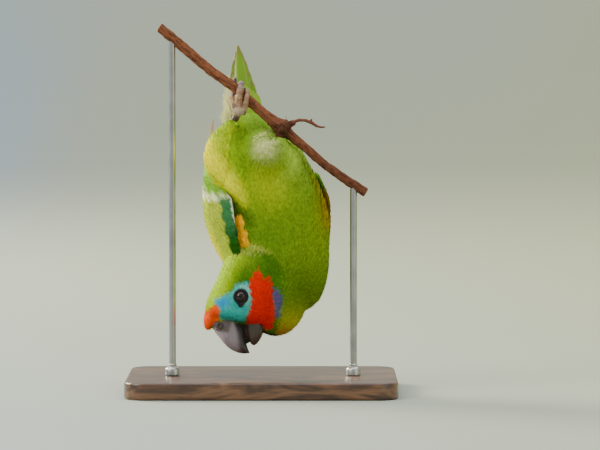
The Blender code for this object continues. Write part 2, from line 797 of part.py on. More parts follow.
def curled_toe(name, across, group):
    """A toe of the clenched foot, curled forwards and back under its palm."""
    points, radii = [], []
    for i in range(9):
        t = i / 8
        turn = math.radians(-60 + 250 * t)
        curl = 2.3 * (1 - 0.35 * t)
        side = across * (0.9 + 0.9 * min(t * 2, 1.0))
        sag = 0.8 + 1.6 * t
        points.append(TUCK_PALM + [side, -0.4 - curl * math.sin(turn), curl * math.cos(turn) - sag])
        radii.append(1.0 - 0.3 * t if i < 7 else 0.45 - 0.3 * (i - 7))
    return tube(name, points, radii, group, 1)


def make_tucked_foot(group, cutters, neighbours):
    foot = ball("foot_right", TUCK_PALM, (2.2, 1.8, 2.2), group, 12, 8)
    pieces = [tube("shank", smooth_rows([TUCK_HEEL, TUCK_PALM], 4), (1.7, 1.6, 1.6, 1.7), group, 2)]
    pieces += [curled_toe(f"toe_{i}", across, group) for i, across in enumerate((-1.5, -0.5, 0.5, 1.5))]
    fuse(foot, pieces)
    carve(foot, [swollen(piece, cutters) for piece in neighbours])
    return finish(foot, "foot")


def make_base(group):
    """A flat plate with rounded corners and a small chamfer round its top."""
    mesh = bpy.data.meshes.new("stand_base")
    work = bmesh.new()
    bmesh.ops.create_cube(work, size=1.0)
    for vertex in work.verts:
        vertex.co = Vector((np.array(vertex.co) + [0, 0, 0.5]) * BASE_SIZE * MM)
    upright = [e for e in work.edges if abs(e.verts[0].co.z - e.verts[1].co.z) > BASE_SIZE[2] * MM / 2]
    bmesh.ops.bevel(work, geom=upright, offset=BASE_CORNER * MM, segments=5, affect="EDGES", profile=0.5)
    rim = [e for e in work.edges if all(abs(v.co.z - BASE_SIZE[2] * MM) < 1e-6 for v in e.verts)]
    bmesh.ops.bevel(work, geom=rim, offset=BASE_CHAMFER * MM, segments=2, affect="EDGES", profile=0.5)
    work.to_mesh(mesh)
    work.free()
    base = bpy.data.objects.new("stand_base", mesh)
    group.objects.link(base)
    return finish(base, "wood")


def make_rod(word, x, group, cutters, branch):
    """An upright rod on a wider ferrule, its top hollowed to the branch's underside."""
    foot = BASE_SIZE[2] + GAP
    top = branch_at(x)[0][2]
    profile = [
        (0.0, top),
        (ROD_RADIUS, top),
        (ROD_RADIUS, foot + FERRULE_HEIGHT),
        (FERRULE_RADIUS * 0.7, foot + FERRULE_HEIGHT),
        (FERRULE_RADIUS, foot + FERRULE_HEIGHT * 0.7),
        (FERRULE_RADIUS, foot),
        (0.0, foot),
    ]
    mesh = bpy.data.meshes.new(f"stand_rod_{word}")
    edges = [(i, i + 1) for i in range(len(profile) - 1)]
    mesh.from_pydata([(r * MM, 0, z * MM) for r, z in profile], edges, [])
    rod = bpy.data.objects.new(f"stand_rod_{word}", mesh)
    group.objects.link(rod)
    turn = rod.modifiers.new("Turn", "SCREW")
    turn.steps = turn.render_steps = 16
    turn.use_merge_vertices = True
    turn.merge_threshold = 1e-6
    bake(rod)
    rod.data.transform(Matrix.Translation((x * MM, BRANCH_Y * MM, 0)))
    outward(rod)
    carve(rod, [swollen(branch, cutters)])
    return finish(rod, "steel")


def main():
    clear_scene()
    parts = collection_named("fig_parrot")
    cutters = collection_named("cutters")
    branch = make_branch(parts)
    torso = make_torso(parts, cutters, branch)
    bill = make_bill(parts, cutters)
    head = make_head(parts, cutters, [torso, *bill])
    neck = make_neck(parts, cutters, [torso, head, *bill])
    make_eyes(parts)
    thighs = {word: make_thigh(word, parts, cutters, [torso, branch]) for word in THIGH_PATHS}
    body = [torso, neck, head, *thighs.values()]
    wings = [make_wing(word, side, parts, cutters, body) for word, side in (("left", 1), ("right", -1))]
    make_tail(parts, cutters, [torso, branch, *thighs.values(), *wings])
    make_grip_foot(parts, cutters, [thighs["left"], torso, branch])
    make_tucked_foot(parts, cutters, [torso, *thighs.values()])
    make_base(parts)
    for word, x in ROD_XS.items():
        make_rod(word, x, parts, cutters, branch)


main()
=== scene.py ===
# %% [markdown]
# # A fig parrot hanging from a cut branch
# The bird is a life-size model on a museum stand: it hangs head down by its left foot and turns
# its face to the left. Blender could dress the plain solids with materials alone, but plumage is
# thousands of overlapping blades, so the flesh gets one new skin, and real mesh feathers grow on it.
# Every length below is in millimetres and becomes metres when a mesh is made.

import math

import bmesh
import bpy
import numpy as np
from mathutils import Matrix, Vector, kdtree, noise
from mathutils.bvhtree import BVHTree


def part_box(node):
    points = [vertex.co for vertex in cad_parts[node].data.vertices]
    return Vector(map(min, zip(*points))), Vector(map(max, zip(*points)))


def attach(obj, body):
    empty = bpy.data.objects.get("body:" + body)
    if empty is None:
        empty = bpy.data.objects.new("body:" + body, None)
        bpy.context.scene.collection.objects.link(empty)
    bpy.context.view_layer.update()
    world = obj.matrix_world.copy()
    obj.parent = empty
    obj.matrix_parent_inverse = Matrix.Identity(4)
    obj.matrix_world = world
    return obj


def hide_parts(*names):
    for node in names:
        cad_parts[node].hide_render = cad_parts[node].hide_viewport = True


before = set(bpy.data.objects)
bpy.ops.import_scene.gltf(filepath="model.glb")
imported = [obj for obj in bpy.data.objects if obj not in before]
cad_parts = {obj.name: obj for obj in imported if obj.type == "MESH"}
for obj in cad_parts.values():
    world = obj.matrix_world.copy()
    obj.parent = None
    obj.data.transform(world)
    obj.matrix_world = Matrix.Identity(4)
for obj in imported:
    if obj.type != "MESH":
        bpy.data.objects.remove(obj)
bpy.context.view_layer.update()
MM = 0.001
rng = np.random.default_rng(11)


# %% [markdown]
# ## Camera
# A long lens far away draws the bird almost without perspective, as a telephoto picture does. The
# camera stands level with the bird and looks down a little, so the base's top just shows.

# %% Camera
LOOK_AT = Vector((17.5, 0.0, 76.9)) * MM
CAMERA_DISTANCE = 1.6
CAMERA_ELEVATION = math.radians(3)
VIEW_WIDTH = 276 * MM
SENSOR_WIDTH = 36
FARTHEST_SEEN = 40


def aim(obj, target):
    """Turns an object so that its -Z axis points at a target."""
    way = Vector(target) - obj.location
    obj.rotation_euler = way.to_track_quat("-Z", "Y").to_euler()


towards_camera = Vector((0, -math.cos(CAMERA_ELEVATION), math.sin(CAMERA_ELEVATION)))
bpy.ops.object.camera_add(location=LOOK_AT + towards_camera * CAMERA_DISTANCE)
camera = bpy.context.object
aim(camera, LOOK_AT)
camera.data.sensor_width = SENSOR_WIDTH
camera.data.lens = SENSOR_WIDTH * CAMERA_DISTANCE / VIEW_WIDTH
camera.data.clip_end = FARTHEST_SEEN
bpy.context.scene.camera = camera
print("lens:", round(camera.data.lens, 1))


# %% [markdown]
# ## Stage and light
# A studio hides its horizon with a floor that curves up into a wall. Here the floor is a wide round
# bowl, so that it has no horizon from any side. Big soft lamps stand left, right, behind and above:
# the one behind on the left draws the bright rim that loose feather tips get.

# %% Helpers for materials
def new_material(name, roughness=0.5, metallic=0.0):
    """A material, its node tree and its Principled shader."""
    made = bpy.data.materials.new(name)
    made.use_nodes = True
    shader = made.node_tree.nodes["Principled BSDF"]
    shader.inputs["Roughness"].default_value = roughness
    shader.inputs["Metallic"].default_value = metallic
    return made, made.node_tree, shader


def add_node(tree, kind, links=None, **values):
    """One node: values set its properties or inputs, links feed its inputs from other sockets."""
    node = tree.nodes.new(kind)
    for key, value in values.items():
        if hasattr(node, key):
            setattr(node, key, value)
        else:
            node.inputs[key.replace("_", " ")].default_value = value
    for key, source in (links or {}).items():
        tree.links.new(source, node.inputs[key])
    return node


def linear(red, green, blue):
    """A colour picked in everyday 0 to 255 numbers, as the linear light that shaders work in."""
    share = np.array([red, green, blue], float) / 255
    return np.where(share <= 0.04045, share / 12.92, ((share + 0.055) / 1.055) ** 2.4)


def math_node(tree, operation, *values):
    """A Math node whose inputs are numbers or other nodes' sockets."""
    node = tree.nodes.new("ShaderNodeMath")
    node.operation = operation
    for socket, value in zip(node.inputs, values):
        if isinstance(value, (int, float)):
            socket.default_value = value
        else:
            tree.links.new(value, socket)
    return node.outputs[0]


def weighed(tree, first, much, second, more):
    """The sum of two sockets' values, each multiplied by its own number."""
    parts = [math_node(tree, "MULTIPLY", *pair) for pair in ((first, much), (second, more))]
    return math_node(tree, "ADD", *parts)


def ramp(tree, source, stops):
    """A colour ramp over a 0 to 1 value, from (place, colour) stops in rising order."""
    node = add_node(tree, "ShaderNodeValToRGB", {"Fac": source})
    elements = node.color_ramp.elements
    for i, (place, colour) in enumerate(stops):
        stop = elements[i] if i < 2 else elements.new(place)
        stop.position, stop.color = place, (*colour, 1)
    return node.outputs["Color"]


def object_place(tree):
    """Where a point lies in its piece."""
    return add_node(tree, "ShaderNodeTexCoord").outputs["Object"]


def stretched(tree, place, scale):
    """A place scaled along each axis, to draw a pattern out."""
    return add_node(tree, "ShaderNodeMapping", {"Vector": place}, Scale=scale).outputs["Vector"]


def noise_at(tree, place, scale, detail, **more):
    """A noise texture's value from 0 to 1 at a place."""
    made = add_node(tree, "ShaderNodeTexNoise", {"Vector": place}, Scale=scale, Detail=detail, **more)
    return made.outputs["Fac"]


def ranged(tree, value, low, high, start=0.0, end=1.0):
    """A value that runs from start to end, spread over low to high."""
    node = add_node(tree, "ShaderNodeMapRange", {"Value": value})
    for label, number in (("From Min", start), ("From Max", end), ("To Min", low), ("To Max", high)):
        node.inputs[label].default_value = number
    return node.outputs["Result"]


def relief(tree, shader, height, depth, strength=1.0):
    """Bumps on a shader from a value: the value's step from 0 to 1 stands for depth millimetres."""
    node = add_node(tree, "ShaderNodeBump", {"Height": height}, Distance=depth * MM, Strength=strength)
    tree.links.new(node.outputs["Normal"], shader.inputs["Normal"])


def set_shader(shader, **values):
    """Sets the shader's own sockets: an underscore stands for a space in a socket's name."""
    for key, value in values.items():
        shader.inputs[key.replace("_", " ")].default_value = value


print("helpers ready")

# %% Floor
FLOOR_RADIUS = 3.0
FLOOR_SIDES = 96
# How much wider and how much higher, in metres, each ring of the bowl is than the one before it.
BOWL_STEPS = [(1.15, 0.03), (1.12, 0.09), (1.09, 0.17), (1.06, 0.27), (1.03, 0.38), (1.01, 0.50)]


def select_only(*objs):
    """Selects these objects alone, and makes the first one active."""
    bpy.ops.object.select_all(action="DESELECT")
    for obj in objs:
        obj.select_set(True)
    bpy.context.view_layer.objects.active = objs[0]


bpy.ops.object.select_all(action="DESELECT")
bpy.ops.mesh.primitive_circle_add(vertices=FLOOR_SIDES, radius=FLOOR_RADIUS, fill_type="TRIFAN")
floor = bpy.context.object
floor.name = "studio_floor"
bpy.ops.object.mode_set(mode="EDIT")
bpy.ops.mesh.select_all(action="DESELECT")
bpy.ops.mesh.select_mode(type="EDGE")
bpy.ops.mesh.select_non_manifold()
for widen, rise in BOWL_STEPS:
    bpy.ops.mesh.extrude_edges_move()
    bpy.ops.transform.resize(value=(widen, widen, 1))
    bpy.ops.transform.translate(value=(0, 0, rise))
bpy.ops.object.mode_set(mode="OBJECT")
bpy.ops.object.shade_smooth()
paper, tree, shader = new_material("mottled_backdrop", 0.85)
where = object_place(tree)
# The clouds are drawn out front to back, so that they don't smear across the floor.
clouds = noise_at(tree, stretched(tree, where, (1.0, 0.12, 1.0)), 0.9, 1.5, Roughness=0.4)
sideways = add_node(tree, "ShaderNodeSeparateXYZ", {"Vector": where}).outputs["X"]
tone = math_node(tree, "ADD", clouds, math_node(tree, "MULTIPLY", sideways, -0.18))
BACKDROP = [(0.34, linear(158, 163, 132)), (0.48, linear(156, 162, 146)), (0.60, linear(146, 160, 168))]
tree.links.new(ramp(tree, tone, BACKDROP), shader.inputs["Base Color"])
floor.data.materials.append(paper)
print("floor reaches", round(max(floor.dimensions) / 2, 2), "m")

# %% Lamps
LAMPS_AIM = (0, 0, 0.08)
# Place, size, watts and colour.
LAMPS = {
    "key_left": ((-1.7, -1.1, 1.4), 1.1, 34.0, (1.0, 0.94, 0.78)),
    "fill_right": ((1.6, -1.3, 0.4), 1.6, 8.0, (0.95, 0.98, 1.0)),
    "rim_left": ((-1.3, 0.9, 0.8), 0.7, 52.0, (1.0, 0.93, 0.68)),
    "sky_above": ((0.0, 0.4, 6.0), 8.0, 430.0, (1.0, 1.0, 1.0)),
}
for name, (place, size, power, colour) in LAMPS.items():
    bpy.ops.object.light_add(type="AREA", location=place)
    lamp = bpy.context.object
    lamp.name = name
    lamp.data.size = size
    lamp.data.energy = power
    lamp.data.color = colour
    aim(lamp, LAMPS_AIM)
world = bpy.data.worlds.new("soft_room")
world.use_nodes = True
world.node_tree.nodes["Background"].inputs["Color"].default_value = (0.93, 0.97, 1.0, 1)
world.node_tree.nodes["Background"].inputs["Strength"].default_value = 0.85
bpy.context.scene.world = world
print("lamps:", len(LAMPS))


# %% [markdown]
# ## The bird's own frame
# The solids were made from tables of sections, and the feathers have to follow the same forms. So the
# tables for the torso, the folded wings and the head are repeated here, with the functions that turn
# a place on the bird into a point.

# %% Body tables
BODY_YAW = math.radians(18)
BELLY = np.array([math.sin(BODY_YAW), -math.cos(BODY_YAW), 0.0])
LEFT = np.array([-math.cos(BODY_YAW), -math.sin(BODY_YAW), 0.0])
# Height, middle x, middle y, half width, half depth of the torso.
TORSO_ROWS = np.array([
    (35.5, 9.0, -3.0, 7.6, 6.6), (40.0, 10.8, -2.2, 14.4, 12.4), (46.0, 10.4, -1.0, 18.4, 16.6),
    (53.0, 9.2, 1.0, 21.6, 20.0), (61.0, 7.4, 3.0, 24.2, 22.4), (70.0, 5.5, 4.0, 26.2, 23.2),
    (79.0, 4.1, 4.0, 27.4, 23.4), (88.0, 2.4, 4.0, 27.0, 22.8), (98.0, 0.3, 4.2, 25.2, 21.4),
    (107.0, -1.8, 4.8, 22.6, 18.8), (114.0, -3.0, 5.6, 19.6, 15.8), (120.5, -3.9, 6.6, 15.6, 12.2),
    (125.5, -4.6, 7.4, 10.6, 8.6), (128.5, -5.0, 8.0, 5.4, 4.6),
])
# The form that the folded wings lie on.
WING_ROWS = np.array([
    (50.0, 8.8, 1.0, 20.8, 19.4), (61.0, 7.4, 3.0, 24.4, 22.6), (70.0, 5.5, 4.0, 26.4, 23.4),
    (79.0, 4.1, 4.0, 27.6, 23.6), (88.0, 2.4, 4.0, 27.2, 23.0), (98.0, 0.3, 4.2, 25.6, 21.8),
    (107.0, -1.8, 4.8, 23.2, 19.6), (117.0, -3.4, 6.0, 20.0, 17.0), (130.0, -4.6, 8.0, 16.4, 14.0),
])
# Height, and degrees round from the belly of each wing's front and back edge.
WING_EDGES = {
    1: np.array([(57, 66, 132), (63, 55, 148), (70, 50, 160), (79, 49, 166), (90, 49, 168),
                 (100, 66, 166), (110, 86, 156), (119, 94, 134), (127, 100, 112)], float),
    -1: np.array([(57, 98, 134), (63, 96, 150), (70, 94, 162), (79, 90, 167), (90, 76, 169),
                  (100, 78, 167), (110, 88, 157), (119, 96, 135), (127, 102, 114)], float),
}


def unit(vectors):
    """Vectors of length 1."""
    vectors = np.asarray(vectors, float)
    return vectors / np.maximum(np.linalg.norm(vectors, axis=-1, keepdims=True), 1e-9)


def row_at(rows, key):
    """Every other column of a table, read off at values of its first column."""
    return [np.interp(key, rows[:, 0], rows[:, i]) for i in range(1, rows.shape[1])]


def wing_place(side, height, across, lift):
    """Points over a folded wing: across runs 0 to 1 from its front edge to its back edge."""
    front, rear = row_at(WING_EDGES[side], height)
    turn = np.radians(side * (front + (rear - front) * across))
    x, y, half_width, half_depth = row_at(WING_ROWS, height)
    middle = np.stack([x, y, np.asarray(height, float) + 0 * x], axis=-1)
    out = BELLY * ((half_depth + lift) * np.cos(turn))[..., None]
    return middle + out + LEFT * ((half_width + lift) * np.sin(turn))[..., None]


print("wing point:", wing_place(1, np.array([80.0]), np.array([0.5]), np.array([1.0])).round(1))

# %% Head frame
HEAD_MIDDLE = np.array([-9.7, -10.0, 44.3])
FORWARD = unit([-0.26, -0.10, -0.96])
CROWN = np.array([-0.966, 0.0, 0.26])
CROWN = unit(CROWN - FORWARD * CROWN.dot(FORWARD))
HEAD_LEFT = np.cross(CROWN, FORWARD)


def head_point(forward_mm, up_mm, left_mm):
    """A point given in the head's own frame."""
    return HEAD_MIDDLE + FORWARD * forward_mm + CROWN * up_mm + HEAD_LEFT * left_mm


def head_coordinates(points):
    """Forward, up and left of points, measured from between the eyes."""
    away = points - HEAD_MIDDLE
    return away @ FORWARD, away @ CROWN, away @ HEAD_LEFT


def node_middle(name):
    """The middle of a solid's box."""
    low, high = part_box(name)
    return np.array((low + high) / 2) / MM


eye_middles = {side: node_middle(name) for side, name in ((1, "eye_left"), (-1, "eye_right"))}
for side, middle in eye_middles.items():
    print("eye", side, "forward, up, left:", [round(float(v), 2) for v in head_coordinates(middle)])


# %% [markdown]
# ## Markings
# The plumage is green, with a red forehead, blue lores, a turquoise patch round the eye, a red cheek
# edged with violet, and yellow on the thighs and flanks. An image texture would need a flat unwrap of
# a feathered form. Instead each feather asks one function for the colour at its place, and the skin
# below asks the same function, so that no gap between feathers shows a wrong colour.

# %% Colours of the plumage
INK = {
    "belly": linear(104, 142, 14), "belly_gold": linear(164, 178, 12), "breast": linear(132, 160, 8),
    # low_breast_shade is painted shade: the lower breast by the neck is painted darker.
    "low_breast_shade": linear(86, 116, 6), "throat": linear(178, 174, 40), "rust": linear(168, 104, 30),
    "back": linear(64, 128, 28), "flank": linear(156, 188, 58), "thigh": linear(140, 176, 14),
    # thigh_gold is the thigh's own yellow, made brighter as a painted highlight on its lit edge.
    "thigh_gold": linear(255, 248, 0), "vent": linear(186, 194, 110), "under_tail": linear(136, 180, 40),
    "crown": linear(184, 216, 0), "nape": linear(128, 156, 20), "lip": linear(196, 204, 80),
    "face": linear(70, 114, 4), "lore": linear(30, 156, 220), "turquoise": linear(58, 186, 178),
    "aqua": linear(140, 214, 196), "cheek": linear(226, 30, 0), "forehead": linear(255, 92, 14),
    # fold_shade is painted shade for the fold under the left thigh.
    "fold_shade": linear(52, 84, 4), "violet": linear(92, 82, 136), "mouth": linear(44, 30, 26),
    # orange is the tuft's own colour, made brighter as a painted highlight.
    "orange": linear(255, 190, 0), "flank_rust": linear(186, 144, 14),
}


def ease(values, start, end):
    """0 before start, 1 after end, and smooth between."""
    t = np.clip((values - start) / (end - start), 0, 1)
    return t * t * (3 - 2 * t)


def inside(flat, outline, soft):
    """How far inside an outline each flat point lies: 1 within, 0 without, soft at the edge."""
    outline = np.array(outline, float)
    distance = np.full(len(flat), 1e9)
    crossed = np.zeros(len(flat), bool)
    for a, b in zip(outline, np.roll(outline, -1, axis=0)):
        edge, away = b - a, flat - a
        t = np.clip(away @ edge / edge.dot(edge), 0, 1)
        distance = np.minimum(distance, np.linalg.norm(away - t[:, None] * edge, axis=1))
        if a[1] != b[1]:
            spans = (a[1] > flat[:, 1]) != (b[1] > flat[:, 1])
            crossed ^= spans & (flat[:, 0] < edge[0] * (flat[:, 1] - a[1]) / edge[1] + a[0])
    return ease(np.where(crossed, distance, -distance), -soft, soft)


# Face markings, as forward and up in the head's frame.
CHEEK = [(-14.2, -4.8), (-11.7, -6.4), (-9.3, -8.0), (-11.7, -8.8), (-11.3, -10.3), (-8.5, -12.2),
         (-4.5, -13.3), (0.1, -15.5), (5.4, -17.2), (10.3, -17.5), (12.4, -13.3), (13.1, -8.8), (11.7, -6.0),
         (8.7, -5.0), (4.7, -5.6), (0.9, -5.5), (-2.0, -4.0), (-4.5, -2.6), (-8.3, -1.8), (-11.3, -3.1)]
VIOLET = [(-7.3, -12.8), (-7.0, -15.3), (-4.8, -17.8), (-1.6, -20.1), (1.6, -20.5), (4.8, -19.4),
          (4.8, -17.5), (-0.4, -15.6), (-4.5, -13.3)]
TURQUOISE = [(5.0, 10.6), (2.0, 7.6), (-1.7, 4.3), (-4.3, 3.5), (-6.2, 0.7), (-7.2, -2.1), (-4.2, -3.2),
             (0.0, -5.5), (3.7, -5.8), (7.2, -5.3), (10.5, -4.3), (11.5, 0.2), (12.4, 4.3), (11.5, 7.4),
             (8.2, 9.2)]
LORE = [(5.0, 10.8), (3.2, 8.2), (2.9, 5.4), (4.5, 4.5), (6.7, 6.3), (7.2, 9.0)]
FOREHEAD = [(9.5, 12.4), (7.5, 10.9), (6.7, 8.9), (8.7, 7.4), (13.3, 6.9), (17.2, 8.2), (18.4, 10.8),
            (17.5, 14.7), (12.1, 15.9)]


# The left thigh's edge, yellow and also painted brighter as a highlight where the light from the left falls
# on it, and a painted shade in the fold under it, as x and z seen from the front.
THIGH_EDGE = [(-8, 87), (-16, 93), (-22, 99), (-30, 104), (-30, 117), (-24, 116), (-20, 109), (-14, 102),
              (-9, 95)]
THIGH_FOLD_SHADE = [(-17, 91.6), (-8, 85.4), (-3.5, 81), (-5, 76), (-11, 80), (-15.5, 86)]


def mixed(base, colour, mask):
    """Colours moved towards another by a mask from 0 to 1."""
    return base + (colour - base) * mask[:, None]


def layered(colour, inks, *layers):
    """Lays inks over a colour in turn, each given by its name and how much of it shows."""
    for name, mask in layers:
        colour = mixed(colour, inks[name], mask)
    return colour


def plain(ink, count):
    """One ink for each of count points."""
    return np.tile(ink, (count, 1))


def zone(points, x, z, across, high, strength):
    """A soft oval patch, as seen from the front."""
    reach = ((points[:, 0] - x) / across) ** 2 + ((points[:, 2] - z) / high) ** 2
    return strength * np.exp(-reach)


def body_markings(points):
    """The colours of back, belly and thighs."""
    x, y, z = points.T
    mid_x, mid_y, _, half_depth = row_at(TORSO_ROWS, z)
    facing = ((points - np.stack([mid_x, mid_y, z], axis=1)) @ BELLY) / half_depth
    front = ease(facing, -0.1, 0.5)
    thigh = ease(-x, 4.0, 9.0) * ease(z, 86, 96) * ease(-y, 0.0, 5.0)
    seen = points[:, [0, 2]]
    return layered(
        plain(INK["back"], len(points)), INK,
        ("belly", ease(facing, -0.35, 0.25)),
        ("breast", front * zone(points, 27, 62, 15, 26, 0.9)),
        # Painted shade: the lower breast by the neck is painted a darker green.
        ("low_breast_shade", front * zone(points, 17, 46, 16, 16, 0.9)),
        ("throat", zone(points, 14, 31, 12, 8, 0.9)),
        ("rust", zone(points, 6, 28.5, 8, 3.4, 0.75)),
        ("belly_gold", front * zone(points, 3.7, 95, 11, 12, 0.85)),
        ("flank", front * zone(points, 17, 110, 9, 15, 0.85)),
        ("under_tail", ease(z, 112, 122) * 0.9),
        ("vent", zone(points, 1.6, 111, 4.6, 5.2, 0.85) * front),
        ("flank_rust", front * zone(points, 31.5, 86, 5, 11, 0.8)),
        ("thigh", thigh * 0.8),
        # The thigh's edge is its own yellow, painted brighter as a highlight where the light from the left
        # falls.
        ("thigh_gold", inside(seen, THIGH_EDGE, 4.5) * ease(-y, 0, 4)),
        # Painted shade in the fold under the left thigh.
        ("fold_shade", inside(seen, THIGH_FOLD_SHADE, 2.6) * ease(-y, 0, 4) * 0.7),
    )


def markings(points):
    """The plumage's colour at points in millimetres, as linear light: the head over the body."""
    forward, up, left = head_coordinates(points)
    on_head = ease(-((forward + 4) ** 2 / 24**2 + (up + 2) ** 2 / 19**2 + left**2 / 19**2), -1.15, -0.85)
    on_head = np.maximum(on_head, ease(forward, 0, 4) * ease(up, -21, -18))
    wobble = 0.45 * np.sin(points @ np.array([[3.1, 1.7], [2.3, -2.9], [2.9, 2.1]]))
    flat = np.stack([forward, up], axis=1) + wobble
    ring = np.exp(-(((np.hypot(forward, up) - 4.2) / 1.0) ** 2)) * ease(-up - forward * 0.6, -1.0, 2.0)
    return layered(
        body_markings(points), INK,
        ("face", on_head),
        ("nape", on_head * ease(-forward, 8.0, 16.0) * ease(up, -8.0, 6.0)),
        ("crown", on_head * ease(up, 1.0, 12.0) * 0.95),
        ("lip", on_head * ease(-forward, 20.6, 23.0) * 0.75),
        ("violet", on_head * inside(flat, VIOLET, 1.2)),
        ("turquoise", on_head * inside(flat, TURQUOISE, 0.9)),
        ("aqua", on_head * ring * 0.7),
        ("lore", on_head * inside(flat, LORE, 2.2)),
        ("cheek", on_head * inside(flat, CHEEK, 0.6)),
        ("forehead", on_head * inside(flat, FOREHEAD, 0.7)),
        ("mouth", ease(forward, 11.5, 13.0) * ease(-up, 2.4, 3.4) * ease(5.6 - np.abs(left), 0, 0.8)),
    )


print("a belly feather is", markings(np.array([[10.0, -18.0, 80.0]])).round(3))


# %% [markdown]
# ## Skin
# Torso, neck, head and thighs are five solids, and a live bird has no seams between them. Copies of
# them are grown a little, fused with a voxel remesh, smoothed, and drawn in by the depth of the coat,
# so that the feathers on top end where the solids do. The bill and the eyes join the fusion too: that
# closes their sockets, and the real ones are built over it afterwards.

# %% One skin from the flesh
COAT_DEPTH = 1.25
GROW = 0.45
SKIN_VOXEL = 0.75
FLESH = ["torso", "neck", "head", "thigh_left", "thigh_right"]
SOCKETS = ["bill_upper", "bill_lower", "cere", "eye_left", "eye_right"]


def merged_copy(names, label):
    """One new object from copies of CAD nodes, with their loose triangles merged."""
    work = bmesh.new()
    for name in names:
        work.from_mesh(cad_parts[name].data)
    bmesh.ops.remove_doubles(work, verts=work.verts, dist=1e-6)
    mesh = bpy.data.meshes.new(label)
    work.to_mesh(mesh)
    work.free()
    made = bpy.data.objects.new(label, mesh)
    bpy.context.scene.collection.objects.link(made)
    return made


def shape_with(obj, *steps):
    """Adds modifiers given as a kind and its values, and applies them in order."""
    select_only(obj)
    for kind, values in steps:
        step = obj.modifiers.new(kind.title(), kind)
        for key, value in values.items():
            setattr(step, key, value)
        bpy.ops.object.modifier_apply(modifier=step.name)


skin = merged_copy(FLESH + SOCKETS, "bird_skin")
shape_with(
    skin,
    ("DISPLACE", {"strength": GROW * MM, "mid_level": 0}),
    ("REMESH", {"mode": "VOXEL", "voxel_size": SKIN_VOXEL * MM, "use_smooth_shade": True}),
    ("SMOOTH", {"factor": 0.5, "iterations": 6}),
    ("DISPLACE", {"strength": -(GROW + COAT_DEPTH) * MM, "mid_level": 0}),
    ("SMOOTH", {"factor": 0.5, "iterations": 4}),
)
print("skin faces:", len(skin.data.polygons))

# %% Skin as numbers, with a tree to look up the nearest place
select_only(skin)
skin.data.uv_layers.new(name="OFBake")
bpy.ops.object.mode_set(mode="EDIT")
bpy.ops.mesh.select_all(action="SELECT")
bpy.ops.uv.smart_project(angle_limit=math.radians(62), island_margin=0.002)
bpy.ops.object.mode_set(mode="OBJECT")


def read(collection, field, width, kind=np.float32):
    """One field of many mesh elements as an array, a row for each."""
    values = np.zeros(len(collection) * width, kind)
    collection.foreach_get(field, values)
    return values.reshape(-1, width) if width > 1 else values


skin_points = read(skin.data.vertices, "co", 3).astype(float) / MM
skin_normals = read(skin.data.vertices, "normal", 3).astype(float)
skin_corners = read(skin.data.loops, "vertex_index", 1, np.int32)
skin_map = np.zeros((len(skin_points), 2))
skin_map[skin_corners] = read(skin.data.uv_layers["OFBake"].uv, "vector", 2)
skin_tree = kdtree.KDTree(len(skin_points))
for index, point in enumerate(skin_points):
    skin_tree.insert(point, index)
skin_tree.balance()


def settle(points, heights):
    """Moves points to given heights over the skin, and says how the skin faces there."""
    near = np.array([skin_tree.find(p)[1] for p in points])
    normal = skin_normals[near]
    over = ((points - skin_points[near]) * normal).sum(1)
    return points + normal * (heights - over)[:, None], normal, near


print("skin points:", len(skin_points))

# %% Paint the skin
def paint(mesh, colours, label="Plumage"):
    """Gives each point of a mesh a colour."""
    layer = mesh.color_attributes.new(label, "FLOAT_COLOR", "POINT")
    rgba = np.ones((len(colours), 4), np.float32)
    rgba[:, :3] = colours
    layer.data.foreach_set("color", rgba.ravel())


SKIN_SHADE = 0.7
paint(skin.data, markings(skin_points + skin_normals * COAT_DEPTH) * SKIN_SHADE)
print("skin painted a little darker than the coat:", SKIN_SHADE)


# %% [markdown]
# ## The lie of the coat
# Feathers point from the bill backwards, over crown, cheek and throat, and then along the body towards
# the tail, which is straight up here. On a thigh they follow the leg. A smooth field of directions says
# this for any point, and each feather bends along it as it grows.

# %% Directions
BILL_BASE = head_point(15.0, 1.0, 0.0)
THIGH_LINES = {
    "left": np.array([(-7.5, -13.5, 87.0, 3.2), (-12.0, -12.5, 96.0, 7.4), (-16.0, -10.8, 104.5, 9.4),
                      (-17.4, -8.6, 112.0, 8.4), (-15.2, -7.4, 119.0, 5.4), (-12.6, -7.6, 124.0, 3.2)]),
    "right": np.array([(11.0, -12.0, 89.0, 3.0), (12.4, -8.6, 98.0, 6.8), (11.6, -5.8, 106.0, 7.4),
                       (9.0, -6.0, 112.0, 5.4), (6.8, -8.2, 115.6, 2.8)]),
}


def lie(points, normals):
    """Unit directions in which feathers point, flat on the skin."""
    away = points - BILL_BASE
    distance = np.linalg.norm(away, axis=1)
    spine = np.array([-0.13, 0.06, 1.0])
    far = ease(distance, 22, 52)[:, None]
    way = unit(away) * (1 - far) + unit(spine) * far
    for line in THIGH_LINES.values():
        gaps = np.linalg.norm(points[:, None] - line[None, :, :3], axis=2)
        nearest = np.argmin(gaps / line[None, :, 3], axis=1)
        reach = np.min(gaps / line[None, :, 3], axis=1)
        ahead = unit(np.gradient(line[:, :3], axis=0))[nearest]
        close = (1 - ease(reach, 0.95, 1.5))[:, None] * 0.9
        way = way * (1 - close) + ahead * close
    return unit(way - normals * (way * normals).sum(1)[:, None])


print("feathers on the crown point to", lie(head_point(0, 12, 0)[None], CROWN[None]).round(2))


# %% [markdown]
# ## One small feather
# A contour feather of a small parrot is a few millimetres long: soft at the root, a rounded vane, and
# barbs that part at the tip. Thousands are needed, so one has fewer than fifty triangles: rows that
# widen from the root, a fine zigzag of barb tips, and one point beneath that closes it.

# %% Feather pattern
def strip(low, high):
    """Triangles between two rows of points that run the same way, each given as a range."""
    faces, a, b = [], 0, 0
    while a < len(low) - 1 or b < len(high) - 1:
        level = (b + 1) * (len(low) - 1) <= (a + 1) * (len(high) - 1)
        if b < len(high) - 1 and (a == len(low) - 1 or level):
            faces.append((low[a], high[b + 1], high[b]))
            b += 1
        else:
            faces.append((low[a], low[a + 1], high[b]))
            a += 1
    return faces


